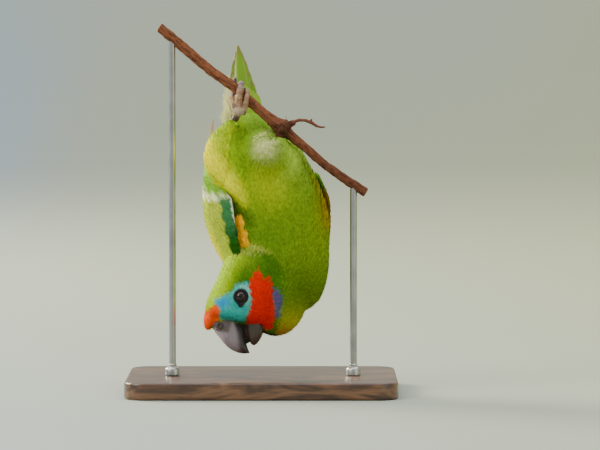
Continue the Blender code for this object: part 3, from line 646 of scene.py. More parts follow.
def feather_pattern(barbs):
    """Places (across, along, height) of one feather's points, and its triangles."""
    places = [(0, 0, 0), (-0.66, 0.30, -0.03), (0, 0.30, 0.02), (0.66, 0.30, -0.03)]
    places += [(s, 0.52 - 0.03 * s * s, 0.025 - 0.08 * s * s) for s in (-1.0, -0.5, 0.0, 0.5, 1.0)]
    spread = np.linspace(-1, 1, barbs + 1)
    places += [(s * 0.94, 0.74 - 0.18 * s * s, 0.02 - 0.08 * s * s) for s in spread]
    tips = (spread[1:] + spread[:-1]) / 2
    places += [(s * 1.02, 1.0 - 0.30 * s * s, -0.01 - 0.08 * s * s) for s in tips]
    places.append((0, 0.5, -0.06))
    narrow, middle = range(1, 4), range(4, 9)
    wide, tip, under = range(9, 10 + barbs), 10 + barbs, 10 + 2 * barbs
    faces = [(0, 2, 1), (0, 3, 2)] + strip(narrow, middle) + strip(middle, wide)
    faces += [(wide[i], wide[i + 1], tip + i) for i in range(barbs)]
    rim = [0, narrow[-1], middle[-1], wide[-1]]
    for i in reversed(range(barbs)):
        rim += [tip + i, wide[i]]
    rim += [middle[0], narrow[0]]
    faces += [(b, a, under) for a, b in zip(rim, rim[1:] + rim[:1])]
    return np.array(places, float), np.array(faces)


PATTERN, PATTERN_FACES = feather_pattern(7)
print("one feather:", len(PATTERN), "points,", len(PATTERN_FACES), "triangles")

# %% Growing many feathers at once
LINE_STOPS = np.array([0.0, 0.34, 0.68, 1.0])
ROOT_HEIGHT = 0.25
SWAY = 0.16
RAGGED = 0.08
# How much a feather turns to the lie of the coat at each stop.
TURN = 0.35


def grow_lines(roots, lengths, lifts, direct=lie, bulge=None):
    """Each feather's middle line over the skin: places, side directions and normals at its stops."""
    place, normal, near = settle(roots, np.full(len(roots), ROOT_HEIGHT))
    lines, sides, normals = [], [], []
    sway = SWAY * rng.normal(size=len(roots))
    way = direct(place, normal)
    way = unit(way + np.cross(way, normal) * sway[:, None])
    for stop, step in zip(LINE_STOPS, np.diff(LINE_STOPS, prepend=0.0)):
        place = place + way * (lengths * step)[:, None]
        height = ROOT_HEIGHT + (lifts - ROOT_HEIGHT) * stop ** 0.7 + (bulge(place) if bulge else 0)
        place, normal, _ = settle(place, height)
        way = unit(direct(place, normal) * TURN + way * (1 - TURN))
        lines.append(place)
        sides.append(np.cross(way, normal))
        normals.append(normal)
    return np.array(lines), unit(np.array(sides)), np.array(normals), near


def at_stops(values, stops):
    """Values known at the line's stops, read off at each of the pattern's points."""
    made = []
    for stop in stops:
        above = min(max(int(np.searchsorted(LINE_STOPS, stop)), 1), len(LINE_STOPS) - 1)
        share = (stop - LINE_STOPS[above - 1]) / (LINE_STOPS[above] - LINE_STOPS[above - 1])
        made.append(values[above - 1] * (1 - share) + values[above] * share)
    return np.stack(made, axis=1)


def feathers(lines, sides, normals, lengths, widths):
    """Points of all feathers: one row of the pattern's points for each."""
    count, many = len(lengths), len(PATTERN)
    across, along, height = PATTERN.T
    stops = np.clip(along[None] * (1 + RAGGED * rng.normal(size=(count, many)) * (along > 0.7)), 0, 1.15)
    middle, side, up = (at_stops(v, along) for v in (lines, sides, normals))
    ahead = unit(lines[-1] - lines[-2])
    half = (widths / 2)[:, None]
    extra = ((stops - along[None]) * lengths[:, None])[..., None] * ahead[:, None]
    lean = 1 + 0.05 * rng.normal(size=(count, many))
    return (middle + extra + side * (across[None] * lean * half)[..., None]
            + up * (height[None] * lengths[:, None])[..., None])


print("a feather bends at", LINE_STOPS)

# %% Turning arrays into pieces
SHARP_FROM = math.radians(70)


def piece_from(name, points, triangles, colours, maps, material, slot):
    """A finished mesh object from arrays, riding on the bird."""
    mesh = bpy.data.meshes.new(name)
    mesh.vertices.add(len(points))
    mesh.vertices.foreach_set("co", np.asarray(points * MM, np.float32).ravel())
    mesh.loops.add(triangles.size)
    mesh.loops.foreach_set("vertex_index", triangles.astype(np.int32).ravel())
    mesh.polygons.add(len(triangles))
    mesh.polygons.foreach_set("loop_start", np.arange(0, triangles.size, 3, dtype=np.int32))
    mesh.update(calc_edges=True)
    for label, places in maps.items():
        layer = mesh.uv_layers.new(name=label)
        layer.uv.foreach_set("vector", places[triangles.ravel()].astype(np.float32).ravel())
    paint(mesh, colours)
    mesh.shade_smooth()
    mesh.set_sharp_from_angle(angle=SHARP_FROM)
    made = bpy.data.objects.new(name, mesh)
    bpy.context.scene.collection.objects.link(made)
    return dress(made, material, slot)


def dress(obj, material, slot, *nodes):
    """Gives a piece its material and body, and hides the CAD nodes that it stands for: the slot is not used.
    """
    obj.data.materials.clear()
    obj.data.materials.append(material)
    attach(obj, "root")
    if nodes:
        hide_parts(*nodes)
    return obj


def scattered(count, spacing, allowed):
    """Random roots on the skin, thinned until none is nearer to another than its own spacing."""
    mesh = skin.data
    mesh.calc_loop_triangles()
    corners = read(mesh.loop_triangles, "vertices", 3, np.int32)
    a, b, c = (skin_points[corners[:, i]] for i in range(3))
    area = np.linalg.norm(np.cross(b - a, c - a), axis=1)
    pick = rng.choice(len(area), count, p=area / area.sum())
    u, v = rng.random(count), rng.random(count)
    flip = u + v > 1
    u, v = np.where(flip, 1 - u, u), np.where(flip, 1 - v, v)
    spots = a[pick] + (b - a)[pick] * u[:, None] + (c - a)[pick] * v[:, None]
    spots = spots[allowed(spots)]
    gaps = spacing(spots)
    tree = kdtree.KDTree(len(spots))
    for i, spot in enumerate(spots):
        tree.insert(spot, i)
    tree.balance()
    alive = np.ones(len(spots), bool)
    kept = []
    for i in range(len(spots)):
        if alive[i]:
            kept.append(i)
            for _, j, _ in tree.find_range(spots[i], gaps[i]):
                alive[j] = False
    return spots[kept]


print("pieces ride on the body root")


# %% [markdown]
# ## Feather materials
# Close up, a vane is made of fine parallel barbs that catch light along their length. A node group
# draws them from the feather's own map: stripes that slant away from the shaft. The body's soft
# feathers and the stiff ones of wing and tail use it with different numbers.

# %% Barb pattern as a node group
def new_group(name, inputs, outputs):
    """A node group with named inputs and outputs, and the nodes that stand for them inside it."""
    tree = bpy.data.node_groups.new(name, "ShaderNodeTree")
    for label, kind, value in inputs:
        socket = tree.interface.new_socket(label, in_out="INPUT", socket_type="NodeSocket" + kind)
        if value is not None:
            socket.default_value = value
    for label, kind in outputs:
        tree.interface.new_socket(label, in_out="OUTPUT", socket_type="NodeSocket" + kind)
    return tree, tree.nodes.new("NodeGroupInput"), tree.nodes.new("NodeGroupOutput")


barbs, given, out = new_group(
    "Barbs",
    [("Map", "Vector", None), ("Along", "Float", 2.0), ("Across", "Float", 4.0), ("Fleck", "Float", 900.0)],
    [("Shade", "Float"), ("Height", "Float")],
)
split = add_node(barbs, "ShaderNodeSeparateXYZ", {"Vector": given.outputs["Map"]})
reach = math_node(barbs, "ABSOLUTE", math_node(barbs, "SUBTRACT", split.outputs["X"], 0.5))
slant = math_node(barbs, "MULTIPLY", reach, given.outputs["Across"])
climb = math_node(barbs, "MULTIPLY", split.outputs["Y"], given.outputs["Along"])
place_and_scale = {"Vector": object_place(barbs), "Scale": given.outputs["Fleck"]}
fleck = add_node(barbs, "ShaderNodeTexNoise", place_and_scale, Detail=2.0)
shifted = math_node(barbs, "ADD", math_node(barbs, "SUBTRACT", climb, slant), fleck.outputs["Fac"])
height = math_node(barbs, "MULTIPLY", math_node(barbs, "PINGPONG", shifted, 0.5), 2.0)
barbs.links.new(ranged(barbs, height, 0.84, 1.08), out.inputs["Shade"])
barbs.links.new(height, out.inputs["Height"])
print("barb group:", len(barbs.nodes), "nodes")

# %% Plumage and quill materials
def painted_on(tree):
    """The colour painted on a piece's points."""
    return add_node(tree, "ShaderNodeVertexColor", layer_name="Plumage").outputs["Color"]


def shaded(tree, colour, amount):
    """A colour made lighter or darker by a value."""
    scaled = add_node(tree, "ShaderNodeVectorMath", {0: colour}, operation="SCALE")
    tree.links.new(amount, scaled.inputs["Scale"])
    return scaled.outputs["Vector"]


def feather_material(name, along, across, fleck, roughness, depth):
    """Painted colour, striped and roughened by barbs."""
    made, tree, shader = new_material(name, roughness)
    unwrap = add_node(tree, "ShaderNodeUVMap", uv_map="Vane")
    group = add_node(tree, "ShaderNodeGroup", {}, node_tree=barbs)
    tree.links.new(unwrap.outputs["UV"], group.inputs["Map"])
    for key, value in (("Along", along), ("Across", across), ("Fleck", fleck)):
        group.inputs[key].default_value = value
    tree.links.new(shaded(tree, painted_on(tree), group.outputs["Shade"]), shader.inputs["Base Color"])
    relief(tree, shader, group.outputs["Height"], depth, 0.6)
    set_shader(shader, Specular_IOR_Level=0.06)
    return made


plumage = feather_material("plumage", 3.0, 9.0, 500.0, 0.62, 0.03)
quill = feather_material("quill_vane", 40.0, 18.0, 300.0, 0.50, 0.04)
down, tree, shader = new_material("skin_down", 0.8)
tree.links.new(painted_on(tree), shader.inputs["Base Color"])
relief(tree, shader, noise_at(tree, object_place(tree), 1500.0, 3.0), 0.3)
dress(skin, down, "green", *FLESH)
print("materials:", len(bpy.data.materials))


# %% [markdown]
# ## The body's coat
# The feathers are smallest and closest round the bill and eyes, longer on the neck, and longest on
# the belly. Roots are scattered at random and thinned to an even spacing, as they grow in life. None
# is planted under the bill, on the bare eye ring, or under the folded wings, where nothing shows.

# %% Where feathers grow, and how large
EYE_BARE = 3.3
# Where the folded wings hide the body: heights, and degrees in from each wing's front and back edge.
BARE_HEIGHTS = (66, 104)
BARE_EDGES = {1: (12, 10), -1: (30, 10)}


def surface_tree(*names):
    """A search tree over copies of CAD nodes, in millimetres."""
    points, faces = [], []
    for name in names:
        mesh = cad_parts[name].data
        start = len(points)
        points += [v.co / MM for v in mesh.vertices]
        faces += [[start + i for i in p.vertices] for p in mesh.polygons]
    return BVHTree.FromPolygons(points, faces)


bill_tree = surface_tree("bill_upper", "bill_lower", "cere")


def clear_of_bill(spots):
    """True where a root lies outside the bill, the cere and the mouth."""
    made = []
    for spot in spots:
        near, normal, _, gap = bill_tree.find_nearest(Vector(spot), 3.0)
        made.append(near is None or ((Vector(spot) - near).dot(normal) > 0 and gap > ROOT_HEIGHT))
    forward, up, left = head_coordinates(spots)
    return np.array(made, bool) & ~((forward > 11.5) & (up < -2.6) & (up > -13.0) & (np.abs(left) < 5.2))


def under_wing(spots):
    """True well inside the folded wings' outline."""
    hidden = np.zeros(len(spots), bool)
    mid_x, mid_y, _, _ = row_at(TORSO_ROWS, spots[:, 2])
    away = spots[:, :2] - np.stack([mid_x, mid_y], axis=1)
    turn = np.degrees(np.arctan2(away @ LEFT[:2], away @ BELLY[:2]))
    low, high = BARE_HEIGHTS
    for side, (from_front, from_rear) in BARE_EDGES.items():
        front, rear = row_at(WING_EDGES[side], spots[:, 2])
        inner = (turn * side > front + from_front) & (turn * side < rear - from_rear)
        hidden |= inner & (spots[:, 2] > low) & (spots[:, 2] < high)
    return hidden


def feathered(spots):
    """True where feathers grow."""
    ok = ~under_wing(spots)
    for side, middle in eye_middles.items():
        away = spots - middle
        out = away @ HEAD_LEFT * side
        radial = np.linalg.norm(away - np.outer(away @ HEAD_LEFT, HEAD_LEFT), axis=1)
        ok &= ~((radial < EYE_BARE) & (out > -3))
    ok[ok] &= clear_of_bill(spots[ok])
    return ok


def feather_size(spots):
    """Length of a feather at each root."""
    forward, up, left = head_coordinates(spots)
    from_bill = np.linalg.norm(spots - BILL_BASE, axis=1)
    size = 1.45 + 1.75 * ease(from_bill, 7, 30) + 2.0 * ease(from_bill, 30, 60)
    for middle in eye_middles.values():
        size *= 1 - 0.35 * (1 - ease(np.linalg.norm(spots - middle, axis=1), 3.5, 9.0))
    return size


SPACING_SHARE = 0.16
SPACING_LEAST = 0.16
ROOTS_TRIED = 260000
roots = scattered(ROOTS_TRIED, lambda s: SPACING_LEAST + feather_size(s) * SPACING_SHARE, feathered)
print("roots:", len(roots))

# %% Grow the coat
TUFT_PATCH = 0.003
MOST_TRIANGLES = 190000
# Along a feather, from its shaded root to its light tip.
FADE = ([0, 0.36, 0.74, 1.0], [0.80, 0.91, 1.0, 1.05])


def pieces_of(name, points, colours, spots, material, slot):
    """Grown feathers as pieces small enough to export: colours per point, spots on the coat's map."""
    count, many = len(points), len(PATTERN)
    fade = np.interp(PATTERN[:, 1], *FADE)
    speckle = 1 + 0.06 * rng.normal(size=(count, 1)) + 0.03 * rng.normal(size=(count, many))
    shades = (fade[None] * np.clip(speckle, 0.6, 1.5))[..., None] * colours
    vane = np.tile(np.stack([PATTERN[:, 0] / 2 + 0.5, PATTERN[:, 1]], axis=1), (count, 1, 1))
    vane += rng.random((count, 1, 2))
    patch = spots[:, None] + np.stack([PATTERN[:, 0] / 2, PATTERN[:, 1] - 0.5], axis=1) * TUFT_PATCH
    per_piece = MOST_TRIANGLES // len(PATTERN_FACES)
    made = []
    for start in range(0, count, per_piece):
        part = slice(start, start + per_piece)
        here = len(points[part])
        triangles = (PATTERN_FACES[None] + np.arange(here)[:, None, None] * many).reshape(-1, 3)
        maps = {"Vane": vane[part].reshape(-1, 2), "OFBake": patch[part].reshape(-1, 2)}
        label = name if count <= per_piece else f"{name}_{len(made) + 1}"
        made.append(piece_from(label, points[part].reshape(-1, 3), triangles,
                               shades[part].reshape(-1, 3), maps, material, slot))
    return made


def coat_pieces(name, roots, lengths, widths, lifts, colour_of, direct=lie, bulge=None):
    """Feathers that grow from roots on the skin and follow it, or a bulge over it."""
    lines, sides, normals, near = grow_lines(roots, lengths, lifts, direct, bulge)
    points = feathers(lines, sides, normals, lengths, widths)
    colours = np.repeat(colour_of(lines)[:, None], len(PATTERN), axis=1)
    return pieces_of(name, points, colours, skin_map[near], plumage, "green")


def body_colour(lines):
    """The marking's colour between the second and third stop."""
    return markings(lines[1] * 0.4 + lines[2] * 0.6)


roots = roots[np.argsort(roots[:, 2])]
lengths = feather_size(roots) * rng.normal(1.0, 0.10, len(roots)).clip(0.7, 1.4)
widths = lengths * rng.normal(0.48, 0.05, len(roots)).clip(0.35, 0.65)
widths = widths * (1.35 - 0.35 * ease(lengths, 1.5, 3.6))
lifts = COAT_DEPTH * rng.normal(0.72, 0.07, len(roots)).clip(0.5, 0.95) * np.clip(lengths / 4.0, 0.65, 1.0)
body_coat = coat_pieces("body_feathers", roots, lengths, widths, lifts, body_colour)
print("body coat:", len(body_coat), "pieces,", len(roots), "feathers")


# %% [markdown]
# ## Stiff feathers
# Wing and tail feathers are long stiff vanes with a shaft that stands proud. They are few, so each can
# have a finer form: rows along it, columns across it, a ridge at the shaft, and a thin edge. One
# function makes the grid of any such feather, and the wing or tail only says where its points go.

# %% Vane grid
COLUMNS = np.array([-1.0, -0.78, -0.42, -0.07, 0.0, 0.07, 0.42, 0.78, 1.0])
VANE_ROWS = 13
VANE_THICKNESS = 0.22


def vane_outline(t, blunt, start=0.45, widest=0.55):
    """Half width along a feather, as a share: narrow at the root, and blunt at the end."""
    swell = start + (1 - start) * ease(t, 0.0, widest)
    end = np.clip((t - widest) / (1 - widest), 0, 1)
    return np.maximum(swell * (1 - end**blunt) ** (1 / blunt), 0.03)


def grid_faces(rows, columns):
    """Triangles of a closed thin sheet: its upper points come first, then the same ones beneath."""
    faces = []
    under = rows * columns
    for i in range(rows - 1):
        for j in range(columns - 1):
            a, b = i * columns + j, i * columns + j + 1
            c, d = a + columns, b + columns
            faces += [(a, b, d), (a, d, c)]
            faces += [(b + under, a + under, d + under), (d + under, a + under, c + under)]
    right = [i * columns + columns - 1 for i in range(1, rows)]
    top = [(rows - 1) * columns + j for j in range(columns - 2, -1, -1)]
    left = [i * columns for i in range(rows - 2, 0, -1)]
    rim = list(range(columns)) + right + top + left
    for a, b in zip(rim, rim[1:] + rim[:1]):
        faces += [(b, a, a + under), (b, a + under, b + under)]
    return np.array(faces)


SHEET_FACES = grid_faces(VANE_ROWS, len(COLUMNS))
print("one stiff feather:", len(SHEET_FACES), "triangles")


# %% Stiff feathers into a piece
def stiff_piece(name, sheets, colours, material, slot, *nodes):
    """Joins sheets of (rows, columns, 2, 3) points, upper then lower, into one piece."""
    count = len(sheets)
    points = np.array([np.concatenate([s[:, :, i].reshape(-1, 3) for i in (0, 1)]) for s in sheets])
    shades = np.array([np.concatenate([c.reshape(-1, 3)] * 2) for c in colours])
    t, s = np.meshgrid(np.linspace(0, 1, VANE_ROWS), COLUMNS, indexing="ij")
    vane = np.tile(np.stack([s.ravel() / 2 + 0.5, t.ravel()], axis=1), (2, 1))
    cells = math.ceil(math.sqrt(2 * count))
    corner = np.stack([np.arange(2 * count) % cells, np.arange(2 * count) // cells], axis=1) / cells
    flat = vane.reshape(2, -1, 2)[None] * 0.94 / cells + corner.reshape(count, 2, 1, 2) + 0.03 / cells
    many = points.shape[1]
    triangles = (SHEET_FACES[None] + np.arange(count)[:, None, None] * many).reshape(-1, 3)
    maps = {"Vane": np.tile(vane, (count, 1)), "OFBake": flat.reshape(-1, 2)}
    made = piece_from(name, points.reshape(-1, 3), triangles, shades.reshape(-1, 3), maps, material, slot)
    if nodes:
        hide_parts(*nodes)
    return made


print("rows and columns of a vane:", VANE_ROWS, len(COLUMNS))


# %% [markdown]
# ## Folded wings
# A folded wing is a stack of tiers: small coverts over the shoulder, larger ones below them, and the
# long flight feathers that reach the rump. Each feather is laid out on the wing's own chart, height by
# place across, which bends it round the body. Each tier lies a little higher than the one beneath it.

# %% Wing colours
WING_INK = {
    "yellow_green": linear(194, 218, 16), "teal": linear(64, 128, 76), "moss": linear(32, 92, 6),
    "streak": linear(220, 222, 104), "pale": linear(255, 255, 214), "gold": linear(250, 240, 0),
    "leaf": linear(134, 184, 44), "tip": linear(160, 106, 92), "blue": linear(24, 76, 104),
    "edge": linear(206, 204, 184), "brown": linear(104, 92, 60), "rust": linear(190, 150, 8),
    "back": linear(60, 124, 24), "flight": linear(26, 84, 36),
}


def wing_colour(side, height, across, kind, t, s):
    """Colour on a wing feather: by its place on the wing, and by the place on the feather."""
    shape = np.broadcast_shapes(np.shape(height), np.shape(across), np.shape(t), np.shape(s))
    height, across, t, s = (np.broadcast_to(v, shape).ravel().astype(float) for v in (height, across, t, s))
    if kind == "edge":
        return plain(WING_INK["edge"], len(t)).reshape(*shape, 3)
    ragged = 0.03 * np.sin(across * 61 + 1.7 * np.sin(height * 0.9))
    across_ragged, height_ragged = across + ragged * 0.5, height + 30 * ragged
    yellow_end = (0.48, 0.66) if side > 0 else (0.12, 0.32)
    streaky = (1 - ease(across_ragged, *yellow_end)) * ease(height, 56, 60) * (1 - ease(height, 89, 93))
    fringe = np.maximum(ease(np.abs(s), 0.3, 0.9), ease(t, 0.8, 1.0)) * (kind != "primary")
    dull = (1 - ease(across, 0.2, 0.34)) * ease(height, 64, 70) * (side > 0)
    rim = np.maximum(ease(np.abs(s), 0.5, 1.0), ease(t, 0.82, 1.0))
    behind = ease(across, *yellow_end) * (kind != "covert")
    colour = layered(
        plain(WING_INK["back"], len(t)), WING_INK,
        ("leaf", (1 - ease(across_ragged, 0.42, 0.62)) * ease(height, 89, 93)),
        ("yellow_green", streaky),
        ("brown", streaky * (1 - fringe) * (0.06 + 0.45 * dull)),
        ("streak", streaky * fringe * 0.4),
        ("flight", behind * (1 - rim) * (0.6 if kind == "primary" else 0.34)),
        ("leaf", behind * rim * 0.16),
    )
    if side > 0:
        golden = ease(across_ragged, 0.20, 0.40) * (1 - ease(across, 0.5, 0.62)) * (1 - ease(height, 68, 84))
        front = (1 - ease(across_ragged, 0.08, 0.12)) * ease(height, 58, 62) * (1 - ease(height, 89, 92))
        green = layered(plain(WING_INK["teal"], len(t)), WING_INK, ("moss", 1 - ease(height, 68, 82)))
        colour = mixed(layered(colour, WING_INK, ("gold", golden * 0.85)), green, front)
        line = ease(height_ragged, 88.4, 89.6) * (1 - ease(height_ragged, 90.8, 92.4)) * (1 - front)
        # Painted highlight: the left wing's outer side is painted paler where the light from the left
        # catches it.
        side_highlight = ease(across_ragged, 0.22, 0.34) * (1 - ease(across, 0.46, 0.6))
        side_highlight = side_highlight * ease(height, 88, 91) * (1 - ease(height, 94, 98)) * 0.45
        line = line * (1 - ease(across, 0.38, 0.5)) * 0.95
        colour = layered(colour, WING_INK, ("pale", line), ("pale", side_highlight))
    else:
        low_down = ease(height, 70, 76) * (1 - ease(height, 90, 96))
        colour = layered(colour, WING_INK, ("rust", (1 - ease(across_ragged, 0.10, 0.28)) * low_down * 0.9))
    if kind == "primary":
        inner = ease(-s * side, -0.2, 0.4) * (1 - ease(t, 0.75, 0.95)) * ease(across, 0.3, 0.5)
        colour = layered(colour, WING_INK, ("blue", inner * 0.7), ("tip", ease(height, 114, 121) * 0.9))
    shaft = np.exp(-((s / 0.05) ** 2)) * 0.25 * (kind != "covert")
    return (colour * (1 - shaft)[:, None]).reshape(*shape, 3)


print("wing inks:", len(WING_INK))

# %% Wing feathers
# How many, then of the first and the last the root's height, the tip's height, the root's place across
# and the tip's, then the width, the lifts of root and tip, and how blunt the end is.
WING_TIERS = {
    "primary": (8, (78, 84), (126.5, 110), (0.10, 0.34), (0.33, 0.60), 5.4, (1.2, 0.9), 1.7),
    "tertial": (8, (71, 78), (107, 113), (0.20, 0.86), (0.22, 0.90), 8.4, (1.7, 1.5), 2.2),
    "greater_covert": (11, (68, 73), (95, 98), (0.08, 0.92), (0.07, 0.93), 7.0, (2.0, 2.1), 2.4),
    "median_covert": (12, (64, 68), (84, 87), (0.07, 0.93), (0.07, 0.93), 6.4, (2.3, 2.8), 2.4),
}
# Rows of broad coverts under the small ones: height of the tips, and how many in the row.
SHOULDER_ROWS = [(79.5, 14), (74.0, 15), (69.4, 14), (65.0, 12), (61.2, 8), (58.6, 5)]
# Height on the wing, and how high the shoulder's feathers lie there.
LIFT_SHAPE = np.array([(56, 0.6), (60, 1.7), (66, 2.7), (74, 3.2), (82, 3.2), (92, 2.9), (104, 1.8),
                       (128, 1.0)])
WING_RADIUS = 25.5
BURIED = 0.45


def shoulder_lift(height):
    """How high the shoulder's feathers lie."""
    return np.interp(height, LIFT_SHAPE[:, 0], LIFT_SHAPE[:, 1])


def hugged(side, across, lift):
    """The right wing's front edge lies closer to the body than the left one's."""
    return lift * (0.3 + 0.7 * ease(across, 0.0, 0.16)) if side < 0 else lift


def wing_sheet(side, root, tip, width, lifts, blunt, kind, tilt=0.10):
    """One wing feather's points and colours, from root and tip given as height and share across."""
    t = np.linspace(0, 1, VANE_ROWS)[:, None]
    s = COLUMNS[None]
    height = root[0] + (tip[0] - root[0]) * t + 0 * s
    middle = root[1] + (tip[1] - root[1]) * t
    front, rear = row_at(WING_EDGES[side], height)
    arc = np.radians(rear - front) * WING_RADIUS
    half = width / 2 * vane_outline(t, blunt) * (1 + 0.025 * np.sin(17 * t + width * 9 + root[1] * 50))
    across = middle + s * half / arc
    lift = lifts[0] + (lifts[1] - lifts[0]) * t + tilt * s * half - 0.10 * s * s * half
    lift = lift + 0.10 * np.exp(-((s / 0.1) ** 2)) * (1 - t)
    lift = hugged(side, across, lift - 0.5 * (1 - ease(t, 0, 0.3)))
    upper = wing_place(side, height, across, lift)
    lower = wing_place(side, height, across, lift - VANE_THICKNESS * (1 - 0.5 * np.abs(s)))
    sheet = np.stack([upper, lower], axis=2)
    colours = wing_colour(side, height, across, kind, t, s)
    if side < 0:
        sheet, colours = sheet[:, ::-1], colours[:, ::-1]
    return sheet, colours


def between(pair, t):
    """A share of the way from the first to the second of a pair."""
    return pair[0] + (pair[1] - pair[0]) * t


def make_wing(word, side):
    """All stiff feathers of one wing, from the flight feathers to the shoulder."""
    sheets, colours = [], []

    def add(*arguments, **more):
        """One more feather, a little lighter or darker than the last."""
        sheet, colour = wing_sheet(side, *arguments, **more)
        sheets.append(sheet)
        colours.append(colour * rng.normal(1.0, 0.07))

    for kind, (count, roots_z, tips_z, roots_a, tips_a, width, lifts, blunt) in WING_TIERS.items():
        for t in np.linspace(0, 1, count):
            root = (between(roots_z, t), between(roots_a, t))
            tip = (between(tips_z, t) + rng.normal(0, 0.5), between(tips_a, t))
            add(root, tip, width, lifts, blunt, kind, tilt=0.45 if kind == "primary" else 0.10)
    for low in (79.0, 82.0) if side > 0 else ():
        add((low, 0.004), (low + 10.5, 0.0), 1.1, (2.9, 2.6), 1.6, "edge")
    for row, (height, count) in enumerate(SHOULDER_ROWS):
        for i in range(count):
            across = 0.06 + 0.88 * (i + 0.5 * (row % 2)) / (count - 0.5)
            size = 10.0 - 0.55 * row + rng.normal(0, 0.4)
            length = min(size, height - 55.5)
            top = shoulder_lift(height) - BURIED + rng.normal(0, 0.06)
            add((height - length, across), (height, across + rng.normal(0, 0.008)), size * 0.62,
                (top - 1.1, top), 2.3, "covert", tilt=0.05)
    return stiff_piece(f"wing_{word}_vanes", sheets, colours, quill, "wing", f"wing_{word}"), len(sheets)


for word, side in (("left", 1), ("right", -1)):
    wing, count = make_wing(word, side)
    print(wing.name, count, "feathers")

# %% Soft coverts over the shoulder
COVERT_HEIGHTS = (56.5, 95.5)
COVERT_LEAN = 0.30
# The soft ones reach higher at the front edge than over the back of the wing.
COVERT_STEP = 21.0


def covert_roots():
    """Heights and places across, in jittered rows whose gap grows with the feathers."""
    height, row, made = COVERT_HEIGHTS[0], 0, []
    while height < COVERT_HEIGHTS[1]:
        gap = np.interp(height, [56, 90], [0.9, 1.5])
        count = int(44 / (gap * 1.1))
        across = (np.arange(count) + 0.5 * (row % 2)) / count
        made += [(height, a) for a in across * 0.98 + 0.005]
        height, row = height + gap, row + 1
    made = np.array(made)
    made = made + rng.normal(size=made.shape) * (0.45, 0.008)
    return made[made[:, 0] < COVERT_HEIGHTS[1] - COVERT_STEP * ease(made[:, 1], 0.30, 0.55)]


def make_coverts(word, side):
    """The soft small feathers over the wing's shoulder."""
    spots = covert_roots()
    front, rear = row_at(WING_EDGES[side], spots[:, 0])
    arc = np.radians(rear - front) * WING_RADIUS
    lengths = np.interp(spots[:, 0], [56, 66, 90], [2.4, 3.6, 5.6]) * rng.normal(1, 0.08, len(spots))
    lean = COVERT_LEAN + rng.normal(0, 0.10, len(spots))
    top = shoulder_lift(spots[:, 0] + lengths) + rng.normal(0, 0.04, len(spots))
    lines, sides, normals = [], [], []
    for stop in LINE_STOPS:
        height = spots[:, 0] + lengths * stop * np.cos(lean)
        across = spots[:, 1] + lengths * stop * np.sin(lean) / arc
        lift = hugged(side, across, top - 0.8 * (1 - stop) ** 1.3)
        place = wing_place(side, height, across, lift)
        beside = wing_place(side, height, across + 0.01, lift)
        above = wing_place(side, height + 0.3, across, lift)
        normals.append(unit(np.cross(beside - place, above - place)) * side)
        ahead = unit(np.cross(normals[-1], unit(beside - place)) * side)
        ahead = unit(ahead * np.cos(lean)[:, None] + unit(beside - place) * np.sin(lean)[:, None])
        sides.append(np.cross(ahead, normals[-1]))
        lines.append(place)
    lines, sides, normals = np.array(lines), np.array(sides), np.array(normals)
    widths = lengths * 0.56
    height = PATTERN[:, 1] * lengths[:, None] + spots[:, :1]
    drift = PATTERN[:, 1] * (np.sin(lean) * lengths)[:, None] + PATTERN[:, 0] * widths[:, None] / 2
    across = spots[:, 1:] + drift / arc[:, None]
    colours = wing_colour(side, height, across, "covert", PATTERN[:, 1], PATTERN[:, 0])
    low, high = COVERT_HEIGHTS
    chart = (spots - (low, 0)) / (high - low + 2, 1.05) * 0.94 + 0.03
    grown = (feathers(lines, sides, normals, lengths, widths), colours, chart)
    return pieces_of(f"wing_{word}_coverts", *grown, plumage, "wing"), len(spots)


for word, side in (("left", 1), ("right", -1)):
    _, count = make_coverts(word, side)
    print("small coverts,", word, count)


# %% [markdown]
# ## Tail
# The short wedge of a tail has twelve stiff feathers in stepped pairs: a second long pair closes it at
# the back. Soft coverts lie over and under their roots, and narrow pale ones stand at the left side.
# They are flat blades, so they are laid out in the tail's own frame.

# %% Tail feathers
TAIL_ROOT = np.array([-7.4, 9.0, 121.0])
TAIL_TIP = np.array([-11.3, 13.5, 159.4])
TAIL_ALONG = unit(TAIL_TIP - TAIL_ROOT)
TAIL_ACROSS = unit(LEFT - TAIL_ALONG * LEFT.dot(TAIL_ALONG))
TAIL_BACK = np.cross(TAIL_ACROSS, TAIL_ALONG)
TAIL_LENGTH = float(np.linalg.norm(TAIL_TIP - TAIL_ROOT))
# For each pair, its share of the tail's length and how far out its tips stand.
TAIL_PAIRS = [(1.0, 0.25), (0.93, 1.3), (0.83, 2.6), (0.70, 3.9), (0.57, 5.2), (0.97, 0.4)]
# For each row of coverts: how many, depth behind the tail's middle, length, start and half width.
TAIL_COVERTS = [(8, -1.4, 21.0, 0.0, 2.6), (7, -1.9, 15.0, -2.0, 2.8),
                (8, 3.4, 18.0, 0.0, 2.6), (7, 3.9, 13.0, -2.0, 2.8)]
PALE_BLADES = 9
TAIL_INK = {
    "green": linear(120, 160, 44), "bright": linear(150, 186, 52), "fringe": linear(214, 216, 130),
    # fluff is pale yellow, painted whiter as a glow of light through it from behind.
    "tip": linear(140, 112, 78), "upper": linear(74, 132, 30), "fluff": linear(255, 248, 186),
}


def tail_sheet(start, end, half, blunt):
    """A straight, slightly cupped blade in the tail's frame, its upper side facing the belly."""
    t = np.linspace(0, 1, VANE_ROWS)[:, None, None]
    s = COLUMNS[None, :, None]
    sideways = unit(np.cross(TAIL_BACK, unit(end - start)))
    width = half * vane_outline(t, blunt, 0.7, 0.5)
    ridge = 0.10 * np.exp(-((s / 0.1) ** 2)) * (1 - t) - 0.12 * s * s * width
    upper = start + (end - start) * t + sideways * s * width - TAIL_BACK * (ridge + 0.4 * t * t)
    lower = upper + TAIL_BACK * VANE_THICKNESS * (1 - 0.5 * np.abs(s))
    return np.stack([upper, lower], axis=2)


